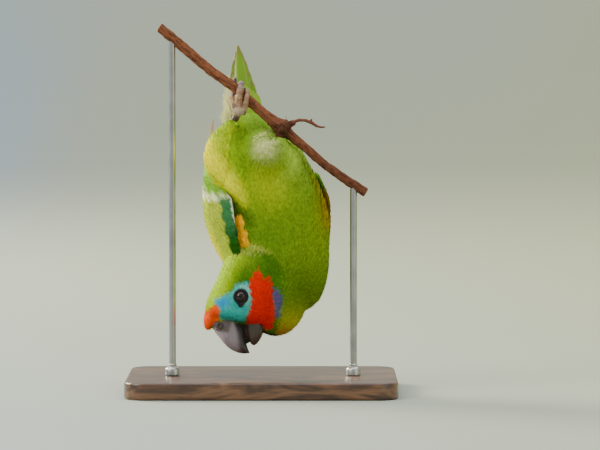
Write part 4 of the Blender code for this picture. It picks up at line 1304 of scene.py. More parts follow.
def tail_colour(base, brown=0.1, left_edge=0.0):
    """One blade, with paler edges and a brown tip: at the left edge it is also streaked, and rimmed with
    pale fluff painted whiter as a glow of light from behind.
    """
    t, s = np.meshgrid(np.linspace(0, 1, VANE_ROWS), COLUMNS, indexing="ij")
    t, s = t.ravel(), s.ravel()
    streak = np.exp(-(((s + 0.25) / 0.22) ** 2)) * ease(t, 0.45, 0.8)
    flat = layered(
        plain(base, len(t)), TAIL_INK,
        ("fringe", ease(np.abs(s), 0.7, 1.0) * 0.3),
        ("tip", ease(t, 0.84, 0.98) * brown),
        ("tip", streak * left_edge * 0.7),
        ("fluff", ease(-s, 0.66, 0.95) * left_edge * 0.8),
    )
    return flat.reshape(VANE_ROWS, len(COLUMNS), 3)


def make_tail():
    """Stiff pairs, coverts and pale blades as one piece."""
    sheets, colours = [], []

    def add(start, end, half, blunt, colour, spread):
        """One more blade, its shade varied by spread."""
        sheets.append(tail_sheet(start, end, half, blunt))
        colours.append(colour * rng.normal(1, spread))

    for pair, (share, tip_out) in enumerate(TAIL_PAIRS):
        for side in (1, -1):
            depth = TAIL_BACK * (0.5 * pair + (0.25 if side > 0 else 0.0))
            start = TAIL_ROOT + TAIL_ACROSS * side * (0.5 + 0.95 * tip_out) + depth
            end = TAIL_ROOT + TAIL_ALONG * TAIL_LENGTH * share + TAIL_ACROSS * side * tip_out + depth * 0.3
            left_edge = float(side > 0 and pair < 2)
            add(start, end, 2.5, 1.7, tail_colour(TAIL_INK["green"], 0.85, left_edge), 0.05)
    for count, depth, reach, first, half in TAIL_COVERTS:
        base = TAIL_INK["bright" if depth < 0 else "upper"]
        for i in range(count):
            out = (i - (count - 1) / 2) / ((count - 1) / 2)
            start = TAIL_ROOT + TAIL_ACROSS * out * 5.0 + TAIL_ALONG * first
            start = start + TAIL_BACK * (depth + 0.12 * (i % 3))
            end = start + TAIL_ALONG * reach * (1 - 0.25 * abs(out)) + TAIL_ACROSS * out * 1.2
            add(start, end, half, 2.2, tail_colour(base), 0.06)
    # The pale blades are partly their own colour and partly a painted glow of light through them from
    # behind.
    for i in range(PALE_BLADES):
        start = TAIL_ROOT + TAIL_ACROSS * (3.4 + 0.35 * i) + TAIL_ALONG * (i % 3 - 3.0)
        start = start + TAIL_BACK * (0.9 * (i % 4) - 3)
        end = start + TAIL_ALONG * (25.0 - 0.9 * i) + TAIL_ACROSS * (1.8 + 0.3 * i)
        add(start, end, 0.8, 1.4, tail_colour(TAIL_INK["fluff"]), 0.04)
    return stiff_piece("tail_vanes", sheets, colours, quill, "lime", "tail")


tail = make_tail()
print("tail triangles:", len(tail.data.polygons))


# %% [markdown]
# ## Tufts and down
# Some places have longer feathers than the coat: an orange tuft under the left wing's front edge, a rust
# one on the right flank, a bright one on the left thigh, a row of pale edges at the vent, and the
# feathers that hide the tucked foot, which follow a bulge over it. Down has no vane: each plume is a
# spray of thin curved strands that part from one root. It shows white or yellow at the tucked foot,
# the ankle, the thigh, the nape and beside the tail, and single loose barbs break up the whole coat.

# %% Tufts of long feathers
skin_faces = [list(p.vertices) for p in skin.data.polygons]
skin_rays = BVHTree.FromPolygons([Vector(p) for p in skin_points], skin_faces)
IN_FRONT = -60.0


def patch_roots(outline, count):
    """Random roots on the front of the body, within an outline of (x, z) points."""
    corners = np.array(outline, float)
    spots = rng.uniform(corners.min(0), corners.max(0), (count * 6, 2))
    spots = spots[inside(spots, corners, 0.2) > 0.5][:count]
    hits = [skin_rays.ray_cast(Vector((x, IN_FRONT, z)), Vector((0, 1, 0)))[0] for x, z in spots]
    return np.array([hit for hit in hits if hit is not None])


def tuft(name, outline, count, length, width, lift, colour_of, direct=lie, bulge=None):
    """Long feathers that overlie the coat."""
    roots = patch_roots(outline, count)
    lengths = length * rng.normal(1, 0.14, len(roots)).clip(0.6, 1.4)
    lifts = lift + rng.normal(0, 0.12, len(roots))
    return coat_pieces(name, roots, lengths, lengths * width, lifts, colour_of, direct, bulge)


print("skin can be hit by rays from", IN_FRONT, "mm in front")

# %% Feathers over the tucked foot, on the thigh and at the vent
FOOT_BULGE = np.array([2.8, 110.6])
FOOT_WHITE = linear(206, 206, 150)
VENT_PALE = linear(216, 218, 140)
VENT_WAY = unit([0.86, 0.0, 0.5])


def over_foot(points, height=4.9, across=7.4, high=8.4):
    """How far the tucked foot lifts the feathers that hide it."""
    away = (points[:, [0, 2]] - FOOT_BULGE) / (across, high)
    return height * np.exp(-((away**2).sum(1) ** 1.5))


def orange_colour(lines):
    """Orange, partly the feathers' own colour and partly a painted highlight, a little lighter or darker on
    each feather.
    """
    return INK["orange"] * rng.normal(1, 0.1, (len(lines[0]), 1))


def cover_colour(lines):
    """Grey-white over the foot, and belly green round it."""
    share = over_foot(lines[1], 1.0, 5.6, 6.6) * rng.uniform(0.1, 0.8, len(lines[0]))
    return mixed(markings(lines[1]), FOOT_WHITE, share)


def thigh_colour(lines):
    """The thigh's green with a golden tint, partly its own colour and partly a painted highlight."""
    tint = rng.uniform(0.0, 0.4, len(lines[0]))
    return mixed(markings(lines[1]), INK["thigh_gold"], tint) * rng.normal(1, 0.05, (len(lines[0]), 1))


def flank_colour(lines):
    """The flank's green with a rusty tint low down."""
    tint = rng.uniform(0.0, 0.6, len(lines[0])) * (1 - ease(lines[0][:, 2], 90, 104))
    return mixed(markings(lines[1]), INK["flank_rust"], tint)


def vent_colour(lines):
    """Pale edges over the vent's green."""
    return mixed(markings(lines[1]), VENT_PALE, rng.uniform(0.3, 1.0, len(lines[0])))


def across_vent(points, normals):
    """The row of feather edges at the vent runs up to the right."""
    way = plain(VENT_WAY, len(points))
    return unit(way - normals * (way * normals).sum(1)[:, None])


# Outlines as x and z seen from the front.
ORANGE_PATCH = [(-11.2, 78.6), (-8.6, 78.6), (-6.2, 71.6), (-5.4, 67.0), (-9.6, 66.0), (-11.8, 71.0)]
FOOT_COVER = [(-8, 98), (2, 94), (12, 98), (14, 108), (10, 116), (2, 119), (-7, 116), (-10, 107)]
THIGH_FLUFF = [(-16, 94), (-22, 96), (-28, 102), (-28, 118), (-20, 122), (-14, 118), (-15, 104)]
RIGHT_FLANK = [(28, 72), (33, 76), (32, 88), (27, 102), (20, 112), (16, 110), (22, 98), (27, 86)]
VENT_LINE = [(-5.0, 114.0), (-1.5, 116.0), (2.4, 117.2), (2.2, 118.8), (-2.0, 117.8), (-5.6, 115.8)]
tufts = [
    tuft("orange_tuft", ORANGE_PATCH, 150, 4.4, 0.40, 1.9, orange_colour),
    tuft("foot_cover", FOOT_COVER, 1300, 4.6, 0.34, 1.2, cover_colour, bulge=over_foot),
    tuft("thigh_fluff", THIGH_FLUFF, 900, 4.6, 0.27, 2.0, thigh_colour),
    tuft("right_flank", RIGHT_FLANK, 420, 5.2, 0.36, 1.9, flank_colour),
    tuft("vent_fold", VENT_LINE, 64, 2.8, 0.26, 1.45, vent_colour, across_vent, over_foot),
]
print("tufts:", len(tufts))

# %% Strands
STRAND_STOPS = np.array([0.0, 0.35, 0.7, 1.0])
# A strand is a point, two rings of three points, and a point again.
STRAND_ALONG = np.array([0, 0.35, 0.35, 0.35, 0.7, 0.7, 0.7, 1.0])
STRAND_FACES = [(0, 2, 1), (0, 3, 2), (0, 1, 3)]
for i in range(3):
    beside = (i + 1) % 3
    STRAND_FACES += [(1 + i, 1 + beside, 4 + i), (1 + beside, 4 + beside, 4 + i)]
STRAND_FACES = np.array(STRAND_FACES + [(4, 5, 7), (5, 6, 7), (6, 4, 7)])


def strands(name, roots, ways, lengths, thickness, colours, droop, slot="green"):
    """Thin closed strands, three-sided, that start along ways and bend."""
    count = len(roots)
    first = unit(np.cross(ways, rng.normal(size=(count, 3))))
    second = np.cross(ways, first)
    bend = first * (droop * rng.normal(size=count))[:, None]
    points = np.zeros((count, 8, 3))
    for stop, share, start, sides in zip(STRAND_STOPS, (0.3, 1.0, 0.75, 0.1), (0, 1, 4, 7), (1, 3, 3, 1)):
        middle = roots + ways * (lengths * stop)[:, None] + bend * (lengths * stop**2)[:, None]
        for side in range(sides):
            turn = 2 * math.pi * side / 3
            around = first * math.cos(turn) + second * math.sin(turn)
            points[:, start + side] = middle + around * (thickness * share * (sides > 1))[:, None]
    near = np.array([skin_tree.find(p)[1] for p in roots])
    triangles = (STRAND_FACES[None] + np.arange(count)[:, None, None] * 8).reshape(-1, 3)
    vane = np.stack([0 * STRAND_ALONG + 0.5, STRAND_ALONG], axis=1)
    maps = {"Vane": (vane[None] + rng.random((count, 1, 2))).reshape(-1, 2),
            "OFBake": (skin_map[near][:, None] + (vane - 0.5)[None] * TUFT_PATCH).reshape(-1, 2)}
    # Each strand is painted darker at its root and lighter at its tip: painted shade among the coat and
    # painted light at the tip.
    shades = np.repeat(colours[:, None], 8, axis=1) * (0.85 + 0.2 * STRAND_ALONG)[None, :, None]
    return piece_from(name, points.reshape(-1, 3), triangles, shades.reshape(-1, 3), maps, plumage, slot)


def sprays(spots, each, spread, length, raised):
    """Roots and directions of down plumes: several strands from each spot, fanned out."""
    place, normal, _ = settle(spots, np.full(len(spots), 0.5))
    way = lie(place, normal)
    roots = np.repeat(place, each, axis=0)
    ways = np.repeat(way + normal * raised, each, axis=0) + spread * rng.normal(size=(len(roots), 3))
    return roots, unit(ways), length * rng.uniform(0.6, 1.25, len(roots))


print("one strand:", len(STRAND_FACES), "triangles")

# %% Down
# For each: outline of the roots, plumes, strands in each, spread, length, raised, thickness, colour.
DOWN = {
    "down_over_foot": ([(-4, 103), (3, 100), (9, 103), (8, 110), (3, 112), (-4, 109)], 80, 10, 0.20, 3.6,
                       0.1, 0.035, linear(210, 212, 150)),
    "down_ankle": ([(-17, 118), (-9, 118), (-9, 126), (-15, 126)], 60, 12, 0.20, 3.0, 0.3, 0.045,
                   linear(190, 204, 60)),
    "down_thigh": ([(-28, 97), (-18, 97), (-18, 119), (-28, 119)], 130, 10, 0.13, 3.0, 0.2, 0.04,
                   linear(250, 244, 10)),
    "nape_fringe": ([(-17, 62.5), (1, 62.5), (1, 65.4), (-17, 65.4)], 90, 10, 0.12, 1.9, 0.4, 0.026,
                    linear(226, 232, 130)),
}
for name, (outline, plumes, each, spread, length, raised, thick, colour) in DOWN.items():
    roots, ways, lengths = sprays(patch_roots(outline, plumes), each, spread, length, raised)
    colours = mixed(markings(roots), colour[None], rng.uniform(0.45, 1.0, len(roots)))
    if name == "down_over_foot":
        roots[:, 1] -= over_foot(roots)
    colours = colours * rng.normal(1, 0.06, (len(roots), 1))
    strands(name, roots, ways, lengths, np.full(len(roots), thick), colours, 0.25)
    print(name, len(roots), "strands")

# %% Fluff beside the tail
FLUFF_STRANDS = 3600
# The fluff is pale yellow, painted whiter still as a glow of light shining through it from behind.
FLUFF_WHITE = linear(255, 252, 196)
out, up, deep = rng.uniform(0, 1, (3, FLUFF_STRANDS))
up = up**1.4
wedge = np.stack([-12.2 - (4.6 - 2.6 * up) * out, 9.5 + 2 * up - 8 * (1 - up) * deep, 121 + 20 * up], axis=1)
ways = unit(TAIL_ALONG + rng.normal(size=(FLUFF_STRANDS, 3)) * 0.16 + (-0.16, -0.05, 0.0))
pale = FLUFF_WHITE * rng.uniform(0.8, 1.0, (FLUFF_STRANDS, 1))
lengths = rng.uniform(3.0, 6.5, FLUFF_STRANDS)
strands("down_beside_tail", wedge, ways, lengths, np.full(FLUFF_STRANDS, 0.07), pale, 0.3, "lime")
print("fluff beside the tail:", FLUFF_STRANDS, "strands")

# %% Loose barbs over the whole coat
LOOSE_ROOTS = 40000
loose = scattered(LOOSE_ROOTS, lambda s: SPACING_LEAST + 0.12 * feather_size(s), feathered)
loose = loose[np.argsort(loose[:, 2])]
for part, here in enumerate(np.array_split(loose, 2)):
    roots, ways, lengths = sprays(here, 2, 0.14, 1.0, 0.16)
    roots = roots + ways * 0.4
    lengths *= np.repeat(feather_size(here) * 0.5, 2)
    shades = markings(roots) * rng.normal(1.1, 0.08, (len(roots), 1))
    strands(f"loose_barbs_{part + 1}", roots, ways, lengths, np.full(len(roots), 0.035), shades, 0.2)
    print("loose barbs:", len(roots))


# %% [markdown]
# ## Bare parts
# Bill, cere and feet have no feathers. Their solids have the right forms but few facets, so fine closed
# copies are remeshed and smoothed, and small relief is added by moving their points: scutes on the
# toes, growth lines on the horn. Eyes, tongue and lids start as spheres and rings. Each point gets a
# tint, and one kind of material breaks it up.

# %% Surfaces with a tint
def tinted(name, roughness, scale, contrast, depth, stretch=(1, 1, 1), cells=False, coat=0.0, shine=0.5):
    """A material that varies a painted tint and its own relief by noise, or by scale-like cells."""
    made, tree, shader = new_material(name, roughness)
    where = object_place(tree)
    spread = stretched(tree, where, stretch)
    if cells:
        pattern = add_node(tree, "ShaderNodeTexVoronoi", {"Vector": spread}, Scale=scale).outputs["Distance"]
    else:
        pattern = noise_at(tree, spread, scale, 4.0)
    broad = noise_at(tree, where, scale * 0.22, 2.0)
    both = weighed(tree, pattern, 0.6, broad, 0.4)
    varied = shaded(tree, painted_on(tree), ranged(tree, both, 1 - contrast, 1 + contrast, 0.25, 0.75))
    tree.links.new(varied, shader.inputs["Base Color"])
    tree.links.new(ranged(tree, both, roughness - 0.1, roughness + 0.15), shader.inputs["Roughness"])
    relief(tree, shader, both, depth)
    set_shader(shader, Specular_IOR_Level=shine, Coat_Weight=coat, Coat_Roughness=0.15)
    return made


def fine_copy(names, label, voxel, smooth):
    """A finely remeshed, smoothed copy of CAD nodes."""
    made = merged_copy(names, label)
    shape_with(
        made,
        ("REMESH", {"mode": "VOXEL", "voxel_size": voxel * MM, "use_smooth_shade": True}),
        ("SMOOTH", {"factor": 0.5, "iterations": smooth}),
    )
    return made


def place_of(obj):
    """The object's points in millimetres, and their normals."""
    points, normals = (read(obj.data.vertices, field, 3).astype(float) for field in ("co", "normal"))
    return points / MM, normals


def reshape(obj, points):
    """Moves the object's points to new places in millimetres."""
    obj.data.vertices.foreach_set("co", np.asarray(points * MM, np.float32).ravel())
    obj.data.update()


def noisy(points, scale, seed=0.0):
    """Smooth noise about 0 at points in millimetres."""
    return np.array([noise.noise(Vector(p * scale) + Vector((seed, seed, seed))) for p in points])


def faced_outwards(obj):
    """Turns all faces of a closed shape outwards and shades it smooth."""
    select_only(obj)
    bpy.ops.object.mode_set(mode="EDIT")
    bpy.ops.mesh.select_all(action="SELECT")
    bpy.ops.mesh.normals_make_consistent(inside=False)
    bpy.ops.object.mode_set(mode="OBJECT")
    obj.data.shade_smooth()


print("bare parts can be copied, moved and tinted")

# %% Bill
BILL_INK = {"pale": linear(196, 184, 198), "grey": linear(132, 120, 130), "dark": linear(70, 54, 44),
            "edge": linear(36, 27, 24), "cere": linear(80, 66, 62), "flake": linear(214, 204, 202),
            "tongue": linear(86, 50, 46)}
horn = tinted("horn", 0.42, 900.0, 0.16, 0.03, (1, 1, 0.25), coat=0.18)


def horn_piece(node, label, colour_of):
    """One half of the bill, with growth lines across it and darker cutting edges."""
    made = fine_copy([node], label, 0.22, 10)
    points, normals = place_of(made)
    forward, up, left = head_coordinates(points)
    waviness = forward - 0.35 * up + 0.5 * np.sin(left * 0.8) + 1.2 * noisy(points, 0.25, 2.0)
    growth = 0.012 * np.sin(2 * math.pi * waviness / 1.4)
    pits = 0.04 * noisy(points, 1.1)
    reshape(made, points + normals * (growth + pits)[:, None])
    paint(made.data, colour_of(forward, up))
    print(label, len(made.data.polygons), "faces")
    return dress(made, horn, "bill", node)


def upper_colour(forward, up):
    """Grey horn, pale by the cere, partly its own colour and partly a painted highlight along the culmen,
    and dark towards the edge and the tip.
    """
    return layered(
        plain(BILL_INK["grey"], len(up)), BILL_INK,
        # The pale by the cere is partly the horn's own colour and partly a painted highlight along the
        # culmen.
        ("pale", ease(up, 0.5, 6.0) * ease(forward, 17.0, 19.5) * 0.85),
        ("cere", ease(up, 0.0, 2.0) * ease(-forward, -18.0, -16.4) * 0.9),
        ("dark", ease(-up, 2.5, 8.5)),
        ("edge", ease(-(up + 0.55 * forward - 7.6), 0.0, 2.4) * 0.85),
    )


def lower_colour(forward, up):
    """Dark horn."""
    return layered(plain(BILL_INK["dark"] * 0.7, len(up)), BILL_INK, ("edge", ease(up, -9.0, -5.0) * 0.8))


horn_piece("bill_upper", "bill_upper_horn", upper_colour)
horn_piece("bill_lower", "bill_lower_horn", lower_colour)

# %% Cere
# Middle of a nostril, as forward, up and to its own side in the head's frame.
NOSTRIL = (15.1, 6.0, 6.8)
cere = fine_copy(["cere"], "cere_skin", 0.22, 8)
points, normals = place_of(cere)
forward, up, left = head_coordinates(points)
reshape(cere, points + normals * (0.12 * noisy(points, 0.9) + 0.06 * noisy(points, 2.4))[:, None])
to_nostril = np.linalg.norm(np.stack([forward, up, np.abs(left)], axis=1) - NOSTRIL, axis=1)
flaky = ease(forward, 15.8, 17.8) * ease(noisy(points, 1.1, 5.0), -0.2, 0.3)
colour = layered(plain(BILL_INK["cere"], len(up)), BILL_INK,
                 ("flake", flaky * 0.8), ("edge", 1 - ease(to_nostril, 0.6, 1.5)))
paint(cere.data, colour)
dress(cere, tinted("cere_skin", 0.6, 1400.0, 0.22, 0.08, cells=True), "bill", "cere")
print("cere faces:", len(cere.data.polygons))

# %% Tongue
TONGUE_SIZE = (3.6, 1.9, 0.75)
bpy.ops.object.select_all(action="DESELECT")
bpy.ops.mesh.primitive_uv_sphere_add(segments=24, ring_count=16, radius=1.0)
tongue = bpy.context.object
tongue.name = "tongue"
places, _ = place_of(tongue)
along, across, rise = (places * MM).T
ahead = unit(FORWARD - CROWN * 0.55)
over = np.cross(HEAD_LEFT, ahead) * -1
length, width, thick = TONGUE_SIZE
groove = 0.25 * np.exp(-((across / 0.3) ** 2)) * (rise > 0)
reshape(tongue, head_point(14.6, -6.6, 0) + np.outer(along * length, ahead)
        + np.outer(across * (width - 0.5 * along), HEAD_LEFT)
        + np.outer(rise * thick - 0.35 * along**2 - groove, over))
paint(tongue.data, plain(BILL_INK["tongue"], len(places)))
tongue.data.shade_smooth()
dress(tongue, tinted("tongue_skin", 0.35, 1600.0, 0.2, 0.05, coat=0.4), "bill")
print("tongue faces:", len(tongue.data.polygons))

# %% Eyes
EYE_RADIUS = 3.0
# Colours from the middle of the pupil out to the rim of the ball.
IRIS = [(0.0, linear(3, 2, 2)), (0.46, linear(4, 3, 3)), (0.55, linear(36, 19, 12)),
        (0.74, linear(46, 25, 17)), (0.86, linear(28, 16, 12)), (0.95, linear(8, 7, 7)),
        (1.0, linear(14, 11, 11))]
wet, tree, shader = new_material("wet_eye", 0.08)
split = add_node(tree, "ShaderNodeSeparateColor", {"Color": painted_on(tree)})
streaks = math_node(tree, "SUBTRACT", noise_at(tree, object_place(tree), 2600.0, 3.0), 0.5)
ragged = math_node(tree, "ADD", split.outputs["Red"], math_node(tree, "MULTIPLY", streaks, 0.10))
tree.links.new(ramp(tree, ragged, IRIS), shader.inputs["Base Color"])
set_shader(shader, Specular_IOR_Level=0.25, Coat_Weight=0.3, Coat_Roughness=0.02)
for word, side in (("left", 1), ("right", -1)):
    bpy.ops.object.select_all(action="DESELECT")
    bpy.ops.mesh.primitive_uv_sphere_add(segments=64, ring_count=40, radius=1.0)
    eye = bpy.context.object
    eye.name = f"eye_{word}_ball"
    places, _ = place_of(eye)
    flat, axis = np.hypot(places[:, 0], places[:, 1]) * MM, places[:, 2] * MM
    cornea = 1 + 0.05 * np.exp(-((flat / 0.55) ** 2)) * (axis > 0)
    spun = (np.outer(places[:, 0], FORWARD) + np.outer(places[:, 1] * side, CROWN)
            + np.outer(places[:, 2] * side, HEAD_LEFT)) * MM
    reshape(eye, eye_middles[side] + spun * (EYE_RADIUS * cornea)[:, None])
    reach = np.where(axis > 0, flat / 0.86, 1.0).clip(0, 1)
    paint(eye.data, np.stack([reach, reach, reach], axis=1))
    faced_outwards(eye)
    dress(eye, wet, "eye", f"eye_{word}")
    print(eye.name, len(eye.data.polygons), "faces")

# %% Lids
LID_RADIUS = 2.75
LID_THICKNESS = 0.75
LID_INK = linear(18, 16, 20)
# Degrees round the eye at which the lids' corner is drawn out.
LID_CORNER = -13
lid_skin = tinted("lid_skin", 0.62, 2200.0, 0.3, 0.06, cells=True, shine=0.25)
for word, side in (("left", 1), ("right", -1)):
    bpy.ops.object.select_all(action="DESELECT")
    bpy.ops.mesh.primitive_torus_add(major_segments=72, minor_segments=14,
                                     major_radius=LID_RADIUS, minor_radius=LID_THICKNESS)
    lid = bpy.context.object
    lid.name = f"lid_{word}"
    places, _ = place_of(lid)
    x, y, z = (places * MM).T
    radius, turn = np.hypot(x, y), np.arctan2(y, x)
    from_corner = np.angle(np.exp(1j * (turn - math.radians(LID_CORNER))))
    corner = np.exp(-((from_corner / 0.30) ** 2))
    radius = radius + corner * (1.3 * (radius > LID_RADIUS) + 0.25)
    wrinkle = 0.05 * np.sin(26 * turn) * (z > 0)
    height = 1.75 + z * 0.85 + wrinkle - 0.35 * corner
    place = (eye_middles[side] + np.outer(radius * np.cos(turn), FORWARD)
             + np.outer(radius * np.sin(turn), CROWN) + np.outer(height, HEAD_LEFT * side))
    reshape(lid, place)
    faced_outwards(lid)
    paint(lid.data, plain(LID_INK, len(place)))
    dress(lid, lid_skin, "eye")
    print(lid.name, len(lid.data.polygons), "faces")


# %% [markdown]
# ## Feet
# The left foot grips the branch with two toes in front and two behind. Its solid gives the form. Every
# point is measured against the toes' own middle lines: the distance along a toe drives the rings of
# scutes, and the last part of each line is the claw, which stays smooth and dark.

# %% Toe lines
# Along the branch: x, z and radius.
BRANCH_LINE = np.array([
    (-46.9, 167.8, 2.3), (-37.7, 160.2, 2.4), (-28.5, 152.2, 2.3), (-21.6, 146.6, 2.3), (-14.1, 141.5, 2.4),
    (-7.8, 136.0, 2.4), (-2.2, 131.0, 2.4), (4.0, 125.8, 2.6), (9.2, 121.9, 3.6), (13.5, 118.0, 2.4),
    (21.1, 111.7, 2.1), (28.6, 105.1, 2.1), (38.2, 98.3, 2.2), (47.8, 91.9, 2.2),
])
BRANCH_Y = -6.4
GRIP_X = -10.2
SOLE = np.array([-10.6, -9.2, 129.6])
TOE_SLIDE = -0.62
# For each toe: place along the branch, first and last degrees round it, and thickness.
GRIP_TOES = [(0.3, -38.0, 66.0, 1.75), (4.4, -34.0, 50.0, 1.35), (-3.4, -78.0, -226.0, 1.40),
             (2.4, -100.0, -212.0, 1.25)]
TUCK_PALM = np.array([2.6, -12.6, 111.6])
CLAW_START = 10.0
CLAW_SWEEP = 46.0
TUCK_ACROSS = (-1.5, -0.5, 0.5, 1.5)


def branch_at(x):
    """The branch's middle at x, the way it runs, and the way up from it."""
    z, ahead = np.interp([x, x + 1.0], BRANCH_LINE[:, 0], BRANCH_LINE[:, 1])
    along = unit([1.0, 0.0, ahead - z])
    return np.array([x, BRANCH_Y, z]), along, np.array([-along[2], 0.0, along[0]])


def grip_lines():
    """For each toe: points along its middle, and where on it the claw starts."""
    middle, along, up = branch_at(GRIP_X)
    radius = float(np.interp(GRIP_X, BRANCH_LINE[:, 0], BRANCH_LINE[:, 2]))
    lines = []
    for along_mm, start, end, thickness in GRIP_TOES:
        way = 1 if end > start else -1
        turn = np.radians(np.linspace(start, end + way * CLAW_SWEEP, 60))
        beyond = (np.degrees(turn) - end) * way
        reach = radius + 0.5 + np.where(beyond > 0, 0.9, thickness * 0.85)
        out, rise = reach * np.cos(turn), reach * np.sin(turn)
        toe = (middle + np.outer(along_mm + TOE_SLIDE * rise, along) + np.outer(out, [0, -1, 0])
               + np.outer(rise, up))
        lines.append((np.vstack([SOLE + along * along_mm * 0.6, toe]), np.append(-99.0, beyond)))
    return lines


def tuck_lines():
    """The same for the curled toes of the tucked foot."""
    lines = []
    for across in TUCK_ACROSS:
        t = np.linspace(0, 1, 40)
        turn, curl = np.radians(-60 + 250 * t), 2.3 * (1 - 0.35 * t)
        offset = np.stack([across * (0.9 + 0.9 * np.minimum(t * 2, 1)), -0.4 - curl * np.sin(turn),
                           curl * np.cos(turn) - 0.8 - 1.6 * t], axis=1)
        lines.append((TUCK_PALM + offset, (t - 0.76) * 100))
    return lines


print("toes:", len(grip_lines()), len(tuck_lines()))

# %% Feet
FOOT_INK = {"scute": linear(160, 122, 90), "groove": linear(86, 62, 46), "sole": linear(176, 156, 128),
            "rear": linear(132, 108, 116), "claw": linear(60, 48, 62), "shank": linear(74, 54, 40),
            "top": linear(116, 98, 104)}
SCUTE_LENGTH = 0.72
scales = tinted("foot_scales", 0.55, 1500.0, 0.18, 0.05, cells=True)


def make_foot(node, label, lines, sole):
    """A foot's skin: each point is ringed and tinted by its place on the nearest toe's line."""
    foot = fine_copy([node], label, 0.2, 13)
    points, normals = place_of(foot)
    best = np.full(len(points), 1e9)
    run, claw = np.zeros(len(points)), np.zeros(len(points))
    for line, beyond in lines:
        tree = kdtree.KDTree(len(line))
        for i, spot in enumerate(line):
            tree.insert(spot, i)
        tree.balance()
        length = np.append(0, np.cumsum(np.linalg.norm(np.diff(line, axis=0), axis=1)))
        found = [tree.find(p) for p in points]
        index, gap = np.array([f[1] for f in found]), np.array([f[2] for f in found])
        near = gap < best
        best = np.where(near, gap, best)
        run = np.where(near, length[index], run)
        claw = np.where(near, beyond[index], claw)
    on_claw = ease(claw, -2.0, CLAW_START - 4.0)
    ring = np.abs(np.sin(math.pi * run / SCUTE_LENGTH)) ** 0.5
    on_toe = ease(-best, -2.6, -1.9) * (1 - on_claw)
    wrinkles = 0.10 * noisy(points, 1.4)
    reshape(foot, points + normals * (0.06 * (ring - 0.6) * on_toe + wrinkles * (1 - on_claw))[:, None])
    blotched = plain(FOOT_INK["scute"], len(points)) * (1 + 0.25 * noisy(points, 0.5, 9.0))[:, None]
    paint(foot.data, layered(
        blotched, FOOT_INK,
        ("groove", (1 - ring) * on_toe * 0.8),
        ("top", ease(points[:, 2], 138.0, 142.0) * 0.8),
        ("rear", ease(points[:, 1], -6.0, -4.0) * 0.8),
        ("sole", (1 - ease(np.linalg.norm(points - sole, axis=1), 1.6, 3.2)) * 0.7),
        ("shank", (1 - on_toe) * (1 - on_claw) * ease(sole[2] - points[:, 2], 0.5, 2.5)),
        ("claw", on_claw),
    ))
    return dress(foot, scales, "foot", node)


grip = make_foot("foot_left", "foot_left_skin", grip_lines(), SOLE + [0.0, -1.4, -0.6])
tucked = make_foot("foot_right", "foot_right_skin", tuck_lines(), TUCK_PALM + [0.0, -2.0, 0.0])
print("feet faces:", len(grip.data.polygons), len(tucked.data.polygons))


# %% [markdown]
# ## Branch
# The cut branch is smooth-barked and reddish brown, with a scarred knuckle, raised pores and pale cut
# ends. Its relief is too large for a bump alone, so the copy's own points carry the ridges and pores.

# %% Branch
BARK_INK = {"bark": linear(126, 74, 48), "dark": linear(52, 28, 18), "pore": linear(150, 112, 86),
            "wood": linear(206, 180, 140), "twig": linear(104, 62, 52)}
branch = fine_copy(["perch_branch"], "branch_bark", 0.36, 4)
points, normals = place_of(branch)
middle_z = np.interp(points[:, 0], BRANCH_LINE[:, 0], BRANCH_LINE[:, 1])
around = np.arctan2(points[:, 2] - middle_z, points[:, 1] - BRANCH_Y)
knuckle = np.exp(-((np.linalg.norm(points - (9.0, BRANCH_Y, 120.5), axis=1) / 5.0) ** 2))
ridges = noisy(np.stack([points[:, 0] * 0.25, np.cos(around) * 2.2, np.sin(around) * 2.2], axis=1), 1.5)
crag = noisy(points, 0.45, 3.0)
pore = ease(noisy(points * (1, 0.6, 1), 1.9, 7.0), 0.40, 0.52)
ends = ease(np.abs(normals[:, 0]), 0.55, 0.75) * ease(np.abs(points[:, 0] - 0.5), 45.0, 46.0)
rough = noisy(points, 1.1, 11.0)
rise = 0.14 * ridges + 0.25 * crag + 0.08 * pore + 0.08 * rough + knuckle * (1.1 * crag + 0.5 * rough)
rise = rise * (1 - ends)
reshape(branch, points + normals * rise[:, None])
colour = layered(
    plain(BARK_INK["bark"], len(points)), BARK_INK,
    ("dark", ease(-ridges, -0.1, 0.45) * 0.7),
    ("dark", ease(points[:, 0], 4, 40) * 0.45),
    ("twig", ease(points[:, 2] - middle_z, 4.5, 6.0) * 0.7),
)
colour = mixed(colour, BARK_INK["dark"] * 0.7, np.minimum(knuckle * 1.2, 1))
rings = 0.85 + 0.15 * np.sin(9 * np.hypot(points[:, 1] - BRANCH_Y, (points[:, 2] - middle_z) * 0.75))
colour = layered(colour, BARK_INK, ("pore", pore * 0.4), ("wood", ends))
colour = colour * np.where(ends > 0.5, rings, 1)[:, None]
paint(branch.data, colour)
dress(branch, tinted("bark", 0.82, 800.0, 0.30, 0.2, (0.35, 1, 1), shine=0.15), "bark", "perch_branch")
print("branch faces:", len(branch.data.polygons))


# %% [markdown]
# ## Stand
# The base is a walnut plate with rounded corners and eased edges, made as a flat outline pushed up.
# The rods are turned steel: each is one circle, drawn up through its profile like work on a lathe.

